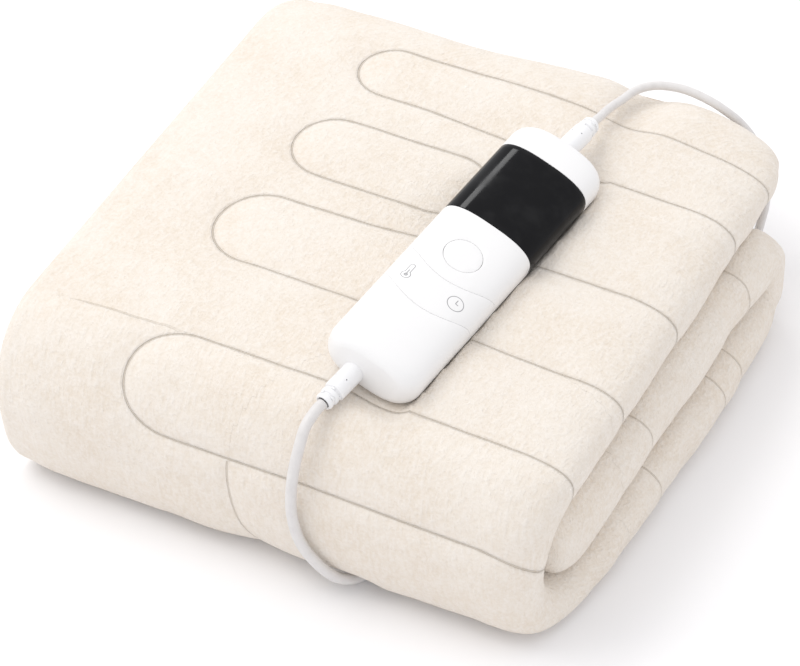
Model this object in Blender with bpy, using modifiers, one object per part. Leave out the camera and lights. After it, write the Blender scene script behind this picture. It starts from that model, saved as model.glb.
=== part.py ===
"""Electric heated blanket: a plush cloth, doubled and folded in three, with its hand controller.

Metres, +Z up. The origin is the middle of the folded cloth's footprint, on the surface it lies on.
+X runs to the right along the front fold, +Y runs to the back. The tables of the cloth are in
millimetres.
"""

import math

import bmesh
import bpy
from mathutils import Matrix, Vector

MM = 0.001
GAP = 0.3 * MM  # between two pieces that touch

# The folded cloth, in millimetres
FOLD_HEIGHT = 79  # three layers of doubled cloth
LAYER_GAP = 1.5  # air between two layers
PLY_SLIT = 1.2  # air between the two plies of one layer
LAYER = (FOLD_HEIGHT - 2 * LAYER_GAP) / 3
FOLD_START = -93  # where the flat layers turn into the front fold
FRONT_REACH = 36  # how far the front fold stands out from there
TOP_END = (131, 141)  # free end of the top layer, at the left and at the right
CLOTH_SHIFT = (3.3, -5.2)  # from the zero of these tables to the middle of the footprint
TURN_START = 89  # where the bottom and middle layers turn into each other, at the back
MIDDLE_END = -104  # end of the middle layer, inside the front fold
FULL_TOP = 2.1  # fullness of the front fold above its middle: 2 is a circle
FULL_FOOT = 3.2  # and below it, where the weight squares it off
END_ROUND = 12  # length over which a free end of the cloth thins out
HEM_ROUND = 6
CORNER = 24  # radius of the corners as seen from above

# The stitching of the top layer: pairs of lines along X, joined by a half round at the left.
# Columns: far line at the left, at the right; near line at the left, at the right;
# leftmost point; rightmost point where the lines close again (None: they run over the edge)
LOOPS = (
    (109, 109, 77, 70, -73, None),
    (56, 56, 18, 18, -76, 12),
    (-1, 9, -44, -44, -82, None),
    (-92, -92, -139, -139, -76, None),
)
SIDE_SEAM = (-94, -60)  # a line from the left edge: its place along Y, and where it ends in X
FRONT_SEAM = (-24, -139, 95)  # a quarter round on the front fold: its start, and its radius
BOTTOM_LINES = (-29, 32, 50)  # stitching that shows at the right edge of the two lower layers
MIDDLE_LINES = (-29, 68)
SHEAR = (-40, 60)  # between these in X a slanting line passes from its left to its right place
STITCH_DEPTH = 1.7
STITCH_WIDTH = 2.6
ROUND_SOFTEN = 0.36  # the furrow is wider round the half rounds, where the points are sparse
STITCH_ROWS = 4  # rows of points lie this far to either side of a line
PUFF = 1.5
PUFF_WIDTH = 11
LIP_CALM = 0.6  # share of the quilting that the stretched cloth loses round the right edge

# Edges of the layers, as seen from above. Columns: place, left edge, right edge
TOP_EDGES = ((-93, -134, 113), (0, -132, 113), (80, -130, 112), (141, -129, 111))
FRONT_EDGES = ((0, -134, 113), (0.3, -133, 112), (0.5, -131, 112), (0.8, -127, 115), (1, -123, 120))
BOTTOM_EDGES = ((-93, -123, 120), (-72, -129, 122), (-30, -131, 125), (40, -131, 127), (89, -130, 125))
TURN_EDGES = ((0, -130, 125), (0.5, -126, 121), (1, -130, 122))
MIDDLE_EDGES = ((-104, -126, 115), (-60, -130, 119), (60, -130, 121), (89, -130, 122))

# Where the stack sinks below its full height. Columns: depth; along X: from, to; along Y: from, to
SINKS = (
    (3, 15, 110, -400, -300),
    (5, 50, 112, 60, 130),
    (2, -400, -300, 95, 140),
    (2, -60, -134, -400, -300),
)
LEAD_DENT = (6, 45, 13, 130, 30)  # depth; middle and width in X; middle and width in Y
FOOT_LIFT = (6.2, 12)  # the foot of the front fold lies over a lead: lift, and height it fades at
FOOT_LINE = (24.7, -128.8, 0.585)  # the lead's line under it: X and Y of one point, then X for each Y
FOOT_SIDES = (20, 8)  # to either side of that line: no lift beyond the first, full within the second
FOOT_REACH = (-58, -74)  # along Y: no lift behind the first, full lift before the second

# Points across a layer, between its two edges
UPPER_COLUMNS = (
    -118, -102, -90, -84, -79, -74, -69, -64, -58, -50, -34, -14, 0, 6, 14, 24, 34, 43, 51, 58, 66, 78,
)
LOWER_COLUMNS = (-112, -84, -50, -10, 30, 70)
EDGE_COLUMNS = (-60, 60)  # between these the columns stay where they are
LIP_ROUND = {"top": (26, 13), "front": (24, 12), "bottom": (18, 15), "turn": (16, 9), "middle": (15, 14)}
LIP_STEPS = 8

# The hand controller, in metres
SHELL_SIZE = (43.8 * MM, 155.2 * MM, 22.4 * MM)
SHELL_CENTRE = (30.7 * MM, -17.3 * MM, 87.4 * MM)
SHELL_TURN = -5.4  # degrees about the vertical
SHELL_ROLL = 17.5  # degrees: its right side has sunk into the cloth
SHELL_END = 8.2 * MM  # length of each rounded end
SHELL_FULL = 2.7  # fullness of its section: 2 is an ellipse
SHELL_CLEAR = 3 * MM  # the cloth it lies on is pressed down to this far below it
SHELL_FADE = 20 * MM  # and rises again within this length beyond its ends
DISPLAY = (14.7 * MM, 59.9 * MM)
DISPLAY_DEPTH = 1.5 * MM
DISPLAY_FOOT = -8.5 * MM  # the band ends this far below the middle of the section
BUTTON_PLACE = (-0.4 * MM, -7.7 * MM)
BUTTON_RADIUS = 8.3 * MM
KEY_ENDS = (-13.6 * MM, -32.7 * MM)  # the key bar's far and near edge, where they meet the sides
KEY_SAG = 10 * MM  # and how much nearer the edges are in the middle
KEY_SPAN = 21.9 * MM  # half the width over which they bow
KEY_HALF = 25 * MM  # the bar runs through to both sides
KEY_SEAM = 0.45 * MM
KEY_DEPTH = 11.2 * MM
KEY_TRAVEL = 0.9 * MM

# Strain reliefs. Columns: name; root in the housing's frame, mm; direction in the world
RELIEFS = (
    ("relief_front", (-5.1, -78.2, -4.2), (-0.198, -0.972, -0.126)),
    ("relief_back", (-0.1, 81, 3.5), (0.108, 0.992, -0.063)),
)
RELIEF_ROOT = -7  # mm, how deep the root sits in the housing
RELIEF_PROFILE = (  # radius and distance from the root, mm, from the tip down the outer side
    (0, 19.0),
    (3.2, 19.0),
    (3.8, 18.5),
    (3.9, 17.3),
    (3.4, 16.8),
    (3.4, 15.8),
    (4.1, 15.3),
    (4.15, 13.9),
    (3.7, 13.4),
    (3.7, 12.5),
    (4.45, 11.8),
    (4.65, 10.6),
    (4.65, RELIEF_ROOT),
    (0, RELIEF_ROOT),
)

# The leads: hand-chosen points in the world, mm, each read through one smooth curve
LEAD_BLANKET = 4.7  # mm, diameter
LEAD_MAINS = 3.8
BLANKET_ROUTE = (
    (13.41, -113.39, 82.49),
    (12.65, -117.13, 82.0),
    (12.1, -121.0, 80.8),
    (11.6, -125.4, 78.6),
    (11.7, -129.8, 74.0),
    (11.3, -134.2, 64.9),
    (11.3, -137.4, 54.7),
    (12.0, -139.0, 43.8),
    (14.3, -139.2, 32.9),
    (17.6, -139.0, 25.6),
    (21.4, -138.2, 19.9),
    (25.3, -136.8, 14.9),
    (29.2, -134.0, 9.9),
    (33.2, -128.4, 5.5),
    (37.6, -119.4, 3.2),
    (42.4, -110.0, 2.5),
    (47.2, -101.0, 2.4),
    (52.0, -93.0, 2.4),
)
MAINS_ROUTE = (
    (41.39, 82.65, 89.54),
    (41.78, 86.27, 89.31),
    (40.9, 91.4, 86.3),
    (40.3, 97.6, 83.8),
    (40.1, 105.8, 80.9),
    (41.1, 114.6, 78.4),
    (42.8, 122.8, 77.4),
    (46.5, 128.6, 77.1),
    (52.2, 132.6, 76.8),
    (61.8, 135.4, 75.8),
    (72.5, 136.1, 73.4),
    (79.8, 137.0, 69.7),
    (85.8, 139.6, 63.4),
    (92.0, 140.6, 55.6),
    (98.0, 137.6, 48.2),
    (102.4, 132.6, 40.6),
    (103.8, 129.4, 32.0),
    (102.6, 128.8, 22.0),
    (100.4, 130.6, 12.6),
    (96.0, 134.6, 5.8),
    (89.6, 141.0, 2.4),
    (82.0, 149.2, 1.9),
    (76.0, 156.4, 2.0),
    (72.0, 162.6, 2.5),
)
PLUG_ROUTE = (
    (18.8, 162.2, 2.5),
    (15.0, 154.6, 2.0),
    (10.6, 146.6, 2.3),
    (5.0, 138.6, 4.4),
    (-2.0, 133.2, 6.7),
    (-8.5, 132.0, 7.2),
)
ROUTE_STEP = 2.5  # diameters between two points of a lead
ROUTE_STUB = 0.7  # diameters from each end to the next point, so that the ends sit square

# The rest of the mains lead lies behind the cloth in a flat coil with a tie round it, mm
COIL_CENTRE = (45.5, 147.0, 8.9)
COIL_RADIUS = 22
COIL_SECTION = (6.0, 7.7)  # half width and half height of the bundle
TIE_CLEAR = 0.5
TIE_THICK = 0.6
TIE_WIDTH = 4

# The flat plug, mm. Columns: distance from its tail, half width, half height, fullness
PLUG_TAIL = (-9.0, 132.0, 7.2)
PLUG_SECTIONS = (
    (0, 2.9, 2.9, 2.0),
    (7, 3.4, 3.4, 2.0),
    (9, 4.4, 4.2, 2.1),
    (13, 8.0, 5.8, 2.5),
    (19, 11.4, 6.8, 3.0),
    (27, 12.4, 7.0, 3.4),
    (33, 12.3, 6.9, 3.4),
    (35.4, 11.8, 6.4, 3.2),
    (36, 10.8, 5.6, 3.0),
)
PIN_SIZE = (18, 1.5, 6.3)  # mm beyond the face, thickness, height
PIN_SPACING = 12.7
PIN_ROOT = 5


def smooth(value, low, high):
    """0 at low, 1 at high, and a soft step between. High may be below low."""
    share = min(1.0, max(0.0, (value - low) / (high - low)))
    return share * share * (3 - 2 * share)


def mix(low, high, share):
    return low + (high - low) * share


def read_table(rows, place, column):
    """Straight-line reading of a short table, sorted by its first column."""
    if place <= rows[0][0]:
        return rows[0][column]
    for lower, upper in zip(rows, rows[1:]):
        if place <= upper[0]:
            share = (place - lower[0]) / (upper[0] - lower[0])
            return mix(lower[column], upper[column], share)
    return rows[-1][column]


def top_stitch_distance(x, place):
    """How far a point of the unrolled top layer is from the nearest stitching."""
    shear = smooth(x, *SHEAR)
    nearest = math.inf
    for far_left, far_right, near_left, near_right, start, stop in LOOPS:
        far = mix(far_left, far_right, shear)
        near = mix(near_left, near_right, shear)
        middle = (far + near) / 2
        radius = (far - near) / 2
        if x < start + radius:
            distance = abs(math.hypot(x - start - radius, place - middle) - radius) * ROUND_SOFTEN
        elif stop is not None and x > stop - radius:
            distance = abs(math.hypot(x - stop + radius, place - middle) - radius) * ROUND_SOFTEN
        else:
            distance = min(abs(place - far), abs(place - near))
        nearest = min(nearest, distance)
    seam, seam_end = SIDE_SEAM
    if x < seam_end:
        nearest = min(nearest, abs(place - seam))
    start, top, radius = FRONT_SEAM
    if place < top:
        distance = abs(math.hypot(x - start - radius, place - top) - radius) * ROUND_SOFTEN
        nearest = min(nearest, distance)
    return nearest


def relief(distance):
    """Height of the quilted face: a furrow along each line, and a soft swell between lines."""
    swell = PUFF * (1 - math.exp(-((distance / PUFF_WIDTH) ** 2)))
    return swell - STITCH_DEPTH * math.exp(-((distance / STITCH_WIDTH) ** 2))


def sink(x, y):
    depth = 0
    for drop, x_from, x_to, y_from, y_to in SINKS:
        depth += drop * smooth(x, x_from, x_to) * smooth(y, y_from, y_to)
    drop, x_middle, x_width, y_middle, y_width = LEAD_DENT
    across = (x - x_middle) / x_width
    along = (y - y_middle) / y_width
    depth += drop * math.exp(-across * across - along * along)
    return depth


def foot_lift(x, y, z):
    height, fade = FOOT_LIFT
    x_start, y_start, slope = FOOT_LINE
    aside = abs(x - x_start - slope * (y - y_start))
    share = smooth(aside, *FOOT_SIDES) * smooth(y, *FOOT_REACH)
    return height * share * (1 - smooth(z, 0, fade))


def shell_pose():
    """Where the controller's housing lies."""
    roll = Matrix.Rotation(math.radians(SHELL_ROLL), 4, "Y")
    turn = Matrix.Rotation(math.radians(SHELL_TURN), 4, "Z")
    return Matrix.Translation(SHELL_CENTRE) @ turn @ roll


def press(point, pose, unpose):
    """Keeps a point of the cloth clear of the underside of the housing that lies on it."""
    local = unpose @ point
    width, length, height = SHELL_SIZE
    across = abs(local.x) / (width / 2 + SHELL_CLEAR)
    fade = smooth(abs(local.y), length / 2 + SHELL_FADE, length / 2)
    if across >= 1 or not fade:
        return point
    underside = -height / 2 * (1 - across**SHELL_FULL) ** (1 / SHELL_FULL) - SHELL_CLEAR
    if local.z > underside:
        local.z = mix(local.z, underside, fade)
    return pose @ local


def power(value, exponent):
    return math.copysign(abs(value) ** exponent, value)


def front_point(share, reach, half, fullness_top, fullness_foot):
    """A point of the front fold's outline, from its top (0) to its foot (1)."""
    angle = math.pi * (0.5 - share)
    fullness = fullness_top if share < 0.5 else fullness_foot
    across = power(math.cos(angle), 2 / fullness)
    up = power(math.sin(angle), 2 / fullness)
    return FOLD_START - reach * across, FOLD_HEIGHT / 2 + half * up


def turn_point(share, radius):
    """A point of the turn at the back, from the bottom layer (0) up to the middle one (1)."""
    angle = math.pi * (share - 0.5)
    return TURN_START + radius * math.cos(angle), LAYER + LAYER_GAP / 2 + radius * math.sin(angle)


def row(run, outer, inner, edges, place, fat=1.0, slant=0.0, inset=0.0):
    """One station along the cloth: where its outer and inner faces are, and its two edges."""
    left = read_table(edges, place, 1) + inset
    right = read_table(edges, place, 2) - inset
    return dict(run=run, outer=outer, inner=inner, left=left, right=right, fat=fat, slant=slant)


def corner_inset(distance):
    """How far a rounded corner draws an edge in, at a distance from the cloth's end."""
    if distance >= CORNER:
        return 0.0
    return CORNER - math.sqrt(CORNER**2 - (CORNER - distance) ** 2)


def end_fat(distance):
    if distance >= END_ROUND:
        return 1.0
    return max(0.42, math.sqrt(1 - (1 - distance / END_ROUND) ** 2))


def top_rows():
    """Rows of the top layer, from its free end at the back to the front fold."""
    slants = [(TOP_END[0] - distance, TOP_END[1] - distance) for distance in (0, 2, 6, 12, 18)]
    lines = []
    for far_left, far_right, near_left, near_right, _, _ in LOOPS:
        lines += [(far_left, far_right), (near_left, near_right)]
    lines.pop()  # the last line lies on the front fold
    for number, line in enumerate(lines):
        if number:
            before = lines[number - 1]
            shares = (0.3, 0.5, 0.7) if number % 2 else (0.5,)
            slants += [tuple(mix(before[side], line[side], share) for side in (0, 1)) for share in shares]
        offsets = (STITCH_ROWS, 0) if number == len(lines) - 1 else (STITCH_ROWS, 0, -STITCH_ROWS)
        slants += [(line[0] + offset, line[1] + offset) for offset in offsets]
    rows = []
    for left, right in slants:
        distance = TOP_END[0] - left
        rows.append(
            row(
                "top",
                (left, FOLD_HEIGHT),
                (left, FOLD_HEIGHT - LAYER),
                TOP_EDGES,
                left,
                fat=end_fat(distance),
                slant=right - left,
                inset=corner_inset(distance),
            )
        )
    return rows


def front_rows():
    rows = []
    for share in (0.0, 0.06, 0.14, 0.22, 0.29, 0.32, 0.35, 0.42, 0.5, 0.58, 0.66, 0.74, 0.82, 0.9, 0.96, 1.0):
        outer = front_point(share, FRONT_REACH, FOLD_HEIGHT / 2, FULL_TOP, FULL_FOOT)
        inner_half = FOLD_HEIGHT / 2 - LAYER
        inner = front_point(share, inner_half, inner_half, 2, 2)
        rows.append(row("front", outer, inner, FRONT_EDGES, share))
    return rows


def bottom_rows():
    places = [-84, -70, -50, -12, 10]
    for line in BOTTOM_LINES:
        places += [line - STITCH_ROWS, line, line + STITCH_ROWS]
    places += [72, TURN_START]
    return [row("bottom", (place, 0), (place, LAYER), BOTTOM_EDGES, place) for place in sorted(places)]


def turn_rows():
    rows = []
    for share in (0.14, 0.28, 0.42, 0.5, 0.58, 0.72, 0.86):
        outer = turn_point(share, LAYER + LAYER_GAP / 2)
        inner = turn_point(share, LAYER_GAP / 2)
        rows.append(row("turn", outer, inner, TURN_EDGES, share))
    return rows


def middle_rows():
    low = LAYER + LAYER_GAP
    places = [TURN_START, 40, 12, -10, -55, -80]
    for line in MIDDLE_LINES:
        places += [line + STITCH_ROWS, line, line - STITCH_ROWS]
    places += [MIDDLE_END + distance for distance in (12, 6, 2, 0)]
    rows = []
    for place in sorted(places, reverse=True):
        distance = place - MIDDLE_END
        rows.append(
            row(
                "middle",
                (place, low + LAYER),
                (place, low),
                MIDDLE_EDGES,
                place,
                fat=end_fat(distance),
                inset=corner_inset(distance) / 2,
            )
        )
    return rows


def section_points(station):
    """The doubled cloth's outline at one station: x, share of the thickness, bulge direction."""
    slit = PLY_SLIT / LAYER
    left = station["left"]
    right = station["right"]
    outer_round, inner_round = LIP_ROUND[station["run"]]
    flat_left = left + HEM_ROUND
    flat_right = right - max(outer_round, inner_round)
    keep_left, keep_right = EDGE_COLUMNS

    def column(x, columns):
        if x < keep_left:
            return mix(flat_left, keep_left, (x - columns[0]) / (keep_left - columns[0]))
        if x > keep_right:
            return mix(keep_right, flat_right, (x - keep_right) / (columns[-1] - keep_right))
        return x

    def hem(side):
        middle = side * (1 + slit) / 2
        half = (1 - slit) / 2
        points = []
        for angle in (-60, -20, 20, 60):
            up = math.sin(math.radians(angle))
            out = math.cos(math.radians(angle))
            points.append((left + HEM_ROUND * (1 - out), middle + half * up, 0.0, 0.0))
        return points

    ring = [(right - 12, slit, 0, 0), (-30, slit, 0, 0), (left + 2, slit, 0, 0)]
    ring += hem(1)
    ring += [(column(x, UPPER_COLUMNS), 1.0, 0.0, 1.0) for x in UPPER_COLUMNS]
    for step in range(1, LIP_STEPS):
        angle = math.pi * (0.5 - step / LIP_STEPS)
        reach = outer_round if angle > 0 else inner_round
        out = power(math.cos(angle), 2 / 2.3)
        up = power(math.sin(angle), 2 / 2.3)
        ring.append((right - reach * (1 - out), up, math.cos(angle), math.sin(angle)))
    ring += [(column(x, LOWER_COLUMNS), -1.0, 0.0, 0.0) for x in reversed(LOWER_COLUMNS)]
    ring += reversed(hem(-1))
    ring += [(left + 2, -slit, 0, 0), (-30, -slit, 0, 0), (right - 12, -slit, 0, 0)]
    return ring


def stitch_distance(station, x, place):
    run = station["run"]
    if run in ("top", "front"):
        return top_stitch_distance(x, place)
    if run == "middle":
        return min(abs(place - line) for line in MIDDLE_LINES)
    if run == "bottom":
        return min(abs(place - line) for line in BOTTOM_LINES)
    return math.inf


def cloth_rings():
    stations = top_rows() + front_rows() + bottom_rows() + turn_rows() + middle_rows()
    pose = shell_pose()
    unpose = pose.inverted()
    rings = []
    travelled = 0.0
    before = None
    for station in stations:
        if station["run"] == "front":
            if before:
                travelled += math.dist(before, station["outer"])
            before = station["outer"]
        ring = []
        outer = Vector((0, *station["outer"]))
        inner = Vector((0, *station["inner"]))
        middle = (outer + inner) / 2
        half = (outer - inner) / 2
        normal = half.normalized()
        for x, share, bulge_out, bulge_up in section_points(station):
            slide = station["slant"] * smooth(x, *SHEAR)
            point = middle + half * (share * station["fat"]) + Vector((x, slide, 0))
            place = FOLD_START - travelled if station["run"] == "front" else point.y
            if station["run"] == "bottom":
                bulge_up = 0.0
            if bulge_out or bulge_up:
                height = relief(stitch_distance(station, x, place)) * (1 - LIP_CALM * bulge_out)
                point += (Vector((bulge_out, 0, 0)) + normal * bulge_up) * height
            point.z *= 1 - sink(point.x, point.y) / FOLD_HEIGHT
            point.z += foot_lift(point.x, point.y, max(point.z, 0.0))
            point.z = max(point.z, 0.0)
            ring.append(press((point + Vector((*CLOTH_SHIFT, 0))) * MM, pose, unpose))
        rings.append(ring)
    return rings


def loft(name, rings):
    """A closed skin over rings that all have the same number of points."""
    bm = bmesh.new()
    loops = [[bm.verts.new(point) for point in ring] for ring in rings]
    count = len(loops[0])
    for first, second in zip(loops, loops[1:]):
        for index in range(count):
            following = (index + 1) % count
            bm.faces.new((first[index], first[following], second[following], second[index]))
    bm.faces.new(reversed(loops[0]))
    bm.faces.new(loops[-1])
    bmesh.ops.recalc_face_normals(bm, faces=bm.faces)
    mesh = bpy.data.meshes.new(name)
    bm.to_mesh(mesh)
    bm.free()
    return mesh


def shell_rings(size, shrink=0.0):
    """The controller's housing as rings along its length; shrink draws every side in."""
    width, length, height = (side - 2 * shrink for side in size)
    stations = []
    for angle in (84, 64, 44, 22, 0):
        out = math.radians(angle)
        draw = 1 - math.cos(out)
        stations.append((length / 2 - SHELL_END * (1 - math.sin(out)), SHELL_END * draw, 1 - 0.38 * draw**1.5))
    both = [(-place, inset, scale) for place, inset, scale in stations] + stations[::-1]
    rings = []
    for place, inset, scale in both:
        ring = []
        for step in range(32):
            angle = 2 * math.pi * step / 32
            across = (width / 2 - inset) * power(math.cos(angle), 2 / SHELL_FULL)
            up = height / 2 * scale * power(math.sin(angle), 2 / SHELL_FULL)
            ring.append(Vector((across, place, up)))
        rings.append(ring)
    return rings


def box(name, low, high):
    bm = bmesh.new()
    bmesh.ops.create_cube(bm, size=1)
    size = Vector(high) - Vector(low)
    bmesh.ops.scale(bm, vec=size, verts=bm.verts)
    bmesh.ops.translate(bm, vec=(Vector(high) + Vector(low)) / 2, verts=bm.verts)
    mesh = bpy.data.meshes.new(name)
    bm.to_mesh(mesh)
    bm.free()
    return mesh


def drum(name, radius, low, high):
    bm = bmesh.new()
    bmesh.ops.create_cone(
        bm, cap_ends=True, segments=40, radius1=radius, radius2=radius, depth=high - low
    )
    bmesh.ops.translate(bm, vec=(0, 0, (high + low) / 2), verts=bm.verts)
    mesh = bpy.data.meshes.new(name)
    bm.to_mesh(mesh)
    bm.free()
    return mesh


def ring_mesh(name, rings):
    """A closed ring of equal sections, the last joined to the first."""
    bm = bmesh.new()
    loops = [[bm.verts.new(point) for point in ring] for ring in rings]
    for first, second in zip(loops, loops[1:] + loops[:1]):
        for index in range(len(first)):
            following = (index + 1) % len(first)
            bm.faces.new((first[index], first[following], second[following], second[index]))
    bmesh.ops.recalc_face_normals(bm, faces=bm.faces)
    mesh = bpy.data.meshes.new(name)
    bm.to_mesh(mesh)
    bm.free()
    return mesh


def oval(half_width, half_height, fullness, steps):
    """Points of a full oval as pairs: across, up."""
    points = []
    for step in range(steps):
        angle = 2 * math.pi * step / steps
        across = half_width * power(math.cos(angle), 2 / fullness)
        up = half_height * power(math.sin(angle), 2 / fullness)
        points.append((across, up))
    return points


def coil_mesh():
    """The coil is a turned ring: its bundle's section carried round the vertical."""
    rings = []
    for step in range(36):
        angle = 2 * math.pi * step / 36
        section = oval(*COIL_SECTION, 2.6, 14)
        rings.append(
            [
                Vector(((COIL_RADIUS + out) * math.cos(angle), (COIL_RADIUS + out) * math.sin(angle), up)) * MM
                for out, up in section
            ]
        )
    return ring_mesh("lead_coil", rings)


def tie_mesh():
    """A flat band round the bundle at the front of the coil."""
    inner_width, inner_height = (half + TIE_CLEAR for half in COIL_SECTION)
    inner = oval(inner_width, inner_height, 2.6, 20)
    outer = oval(inner_width + TIE_THICK, inner_height + TIE_THICK, 2.6, 20)
    side = TIE_WIDTH / 2
    rings = []
    for (near, low), (far, high) in zip(inner, outer):
        corners = ((side, near, low), (side, far, high), (-side, far, high), (-side, near, low))
        rings.append([Vector((x, y - COIL_RADIUS, z)) * MM for x, y, z in corners])
    return ring_mesh("lead_tie", rings)


def plug_mesh():
    rings = []
    for place, half_width, half_height, fullness in PLUG_SECTIONS:
        section = oval(half_width, half_height, fullness, 28)
        rings.append([Vector((-place, across, up)) * MM for across, up in section])
    return loft("mains_plug", rings)


def pin_mesh(name):
    length, thick, height = PIN_SIZE
    face = -PLUG_SECTIONS[-1][0]
    low = Vector((face - length, -thick / 2, -height / 2)) * MM
    high = Vector((face + PIN_ROOT, thick / 2, height / 2)) * MM
    mesh = box(name, low, high)
    bm = bmesh.new()
    bm.from_mesh(mesh)
    tips = [edge for edge in bm.edges if all(vert.co.x < low.x + GAP for vert in edge.verts)]
    bmesh.ops.bevel(bm, geom=tips, offset=0.5 * MM, segments=1, profile=0.5, affect="EDGES")
    bm.to_mesh(mesh)
    bm.free()
    return mesh


def smooth_curve(points, step, stub):
    """One smooth curve through the points, read at even steps, with a short stub at each end."""
    fine = []
    last = len(points) - 1
    for index in range(last):
        before, start, end, after = (Vector(points[min(max(index + k, 0), last)]) for k in (-1, 0, 1, 2))
        for part in range(16):
            t = part / 16
            fine.append(
                0.5
                * (
                    2 * start
                    + (end - before) * t
                    + (2 * before - 5 * start + 4 * end - after) * t**2
                    + (3 * start - before - 3 * end + after) * t**3
                )
            )
    fine.append(Vector(points[-1]))
    lengths = [0.0]
    for first, second in zip(fine, fine[1:]):
        lengths.append(lengths[-1] + (second - first).length)
    count = max(2, round(lengths[-1] / step))
    targets = [lengths[-1] * number / count for number in range(count + 1)]
    targets = [targets[0], stub, *targets[1:-1], lengths[-1] - stub, targets[-1]]
    spots = []
    index = 0
    for target in targets:
        while index < len(fine) - 2 and lengths[index + 1] < target:
            index += 1
        share = (target - lengths[index]) / (lengths[index + 1] - lengths[index])
        spots.append(fine[index].lerp(fine[index + 1], share))
    return spots


def lead_mesh(name, route, diameter, resolution):
    """A round lead: a curve with its thickness, filled at both ends and made a mesh."""
    spots = smooth_curve(route, ROUTE_STEP * diameter, ROUTE_STUB * diameter)
    curve = bpy.data.curves.new(name, "CURVE")
    curve.dimensions = "3D"
    curve.bevel_depth = diameter / 2 * MM
    curve.bevel_resolution = resolution
    curve.use_fill_caps = True
    line = curve.splines.new("POLY")
    line.points.add(len(spots) - 1)
    for point, spot in zip(line.points, spots):
        point.co = (*(spot * MM), 1)
    drawn = bpy.data.objects.new(name, curve)
    bpy.context.scene.collection.objects.link(drawn)
    bpy.context.view_layer.update()
    mesh = bpy.data.meshes.new_from_object(drawn.evaluated_get(bpy.context.evaluated_depsgraph_get()))
    bpy.data.objects.remove(drawn)
    bm = bmesh.new()
    bm.from_mesh(mesh)
    bmesh.ops.remove_doubles(bm, verts=bm.verts, dist=0.01 * MM)
    bmesh.ops.recalc_face_normals(bm, faces=bm.faces)
    bm.to_mesh(mesh)
    bm.free()
    mesh.materials.clear()
    mesh.name = name
    return mesh


def key_prism(name, grow, low, high):
    """The key bar's outline: two bowed edges, drawn up into a prism."""
    bm = bmesh.new()
    bmesh.ops.create_grid(bm, x_segments=12, y_segments=1, size=1)
    far, near = KEY_ENDS
    for vert in bm.verts:
        across, side, _ = vert.co
        edge = far + grow if side > 0 else near - grow
        x = (KEY_HALF + grow) * across
        vert.co = (x, edge - KEY_SAG * (1 - (x / KEY_SPAN) ** 2), low)
    top = bmesh.ops.extrude_face_region(bm, geom=bm.faces[:])
    raised = [piece for piece in top["geom"] if isinstance(piece, bmesh.types.BMVert)]
    bmesh.ops.translate(bm, vec=(0, 0, high - low), verts=raised)
    bmesh.ops.recalc_face_normals(bm, faces=bm.faces)
    mesh = bpy.data.meshes.new(name)
    bm.to_mesh(mesh)
    bm.free()
    return mesh


def material(name, colour, roughness):
    made = bpy.data.materials.new(name)
    made.use_nodes = True
    shader = made.node_tree.nodes["Principled BSDF"]
    shader.inputs["Base Color"].default_value = (*colour, 1)
    shader.inputs["Roughness"].default_value = roughness
    shader.inputs["Metallic"].default_value = 0
    made.diffuse_color = (*colour, 1)
    return made


class Builder:
    """Adds the pieces to one collection and the cutters to another."""

    def __init__(self):
        for leftover in list(bpy.data.objects):
            bpy.data.objects.remove(leftover)
        self.pieces = bpy.data.collections.new("heated_blanket")
        self.cutters = bpy.data.collections.new("cutters")
        for collection in (self.pieces, self.cutters):
            bpy.context.scene.collection.children.link(collection)

    def empty(self, name, matrix):
        made = bpy.data.objects.new(name, None)
        made.matrix_world = matrix
        self.pieces.objects.link(made)
        return made

    def piece(self, name, mesh, finish, parent=None, place=(0, 0, 0), crease=35):
        made = bpy.data.objects.new(name, mesh)
        made.location = place
        made.parent = parent
        finish = finish.copy()
        finish.name = name
        mesh.materials.append(finish)
        mesh.shade_smooth()
        mesh.set_sharp_from_angle(angle=math.radians(crease))
        self.pieces.objects.link(made)
        return made

    def cutter(self, mesh, parent=None, place=(0, 0, 0)):
        made = bpy.data.objects.new(mesh.name, mesh)
        made.location = place
        made.parent = parent
        made.hide_render = True
        made.display_type = "WIRE"
        self.cutters.objects.link(made)
        return made


def profile_mesh(name):
    """The strain relief's profile, in the plane of +X and +Z."""
    points = [(radius * MM, 0, height * MM) for radius, height in RELIEF_PROFILE]
    mesh = bpy.data.meshes.new(name)
    mesh.from_pydata(points, [(index, index + 1) for index in range(len(points) - 1)], [])
    return mesh


def spin(target):
    modifier = target.modifiers.new("turned", "SCREW")
    modifier.steps = 20
    modifier.render_steps = 20
    modifier.use_merge_vertices = True
    modifier.merge_threshold = 0.01 * MM


def combine(target, operation, cutter):
    modifier = target.modifiers.new(f"{operation.lower()}_{cutter.name}", "BOOLEAN")
    modifier.operation = operation
    modifier.solver = "EXACT"
    modifier.object = cutter


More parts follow.
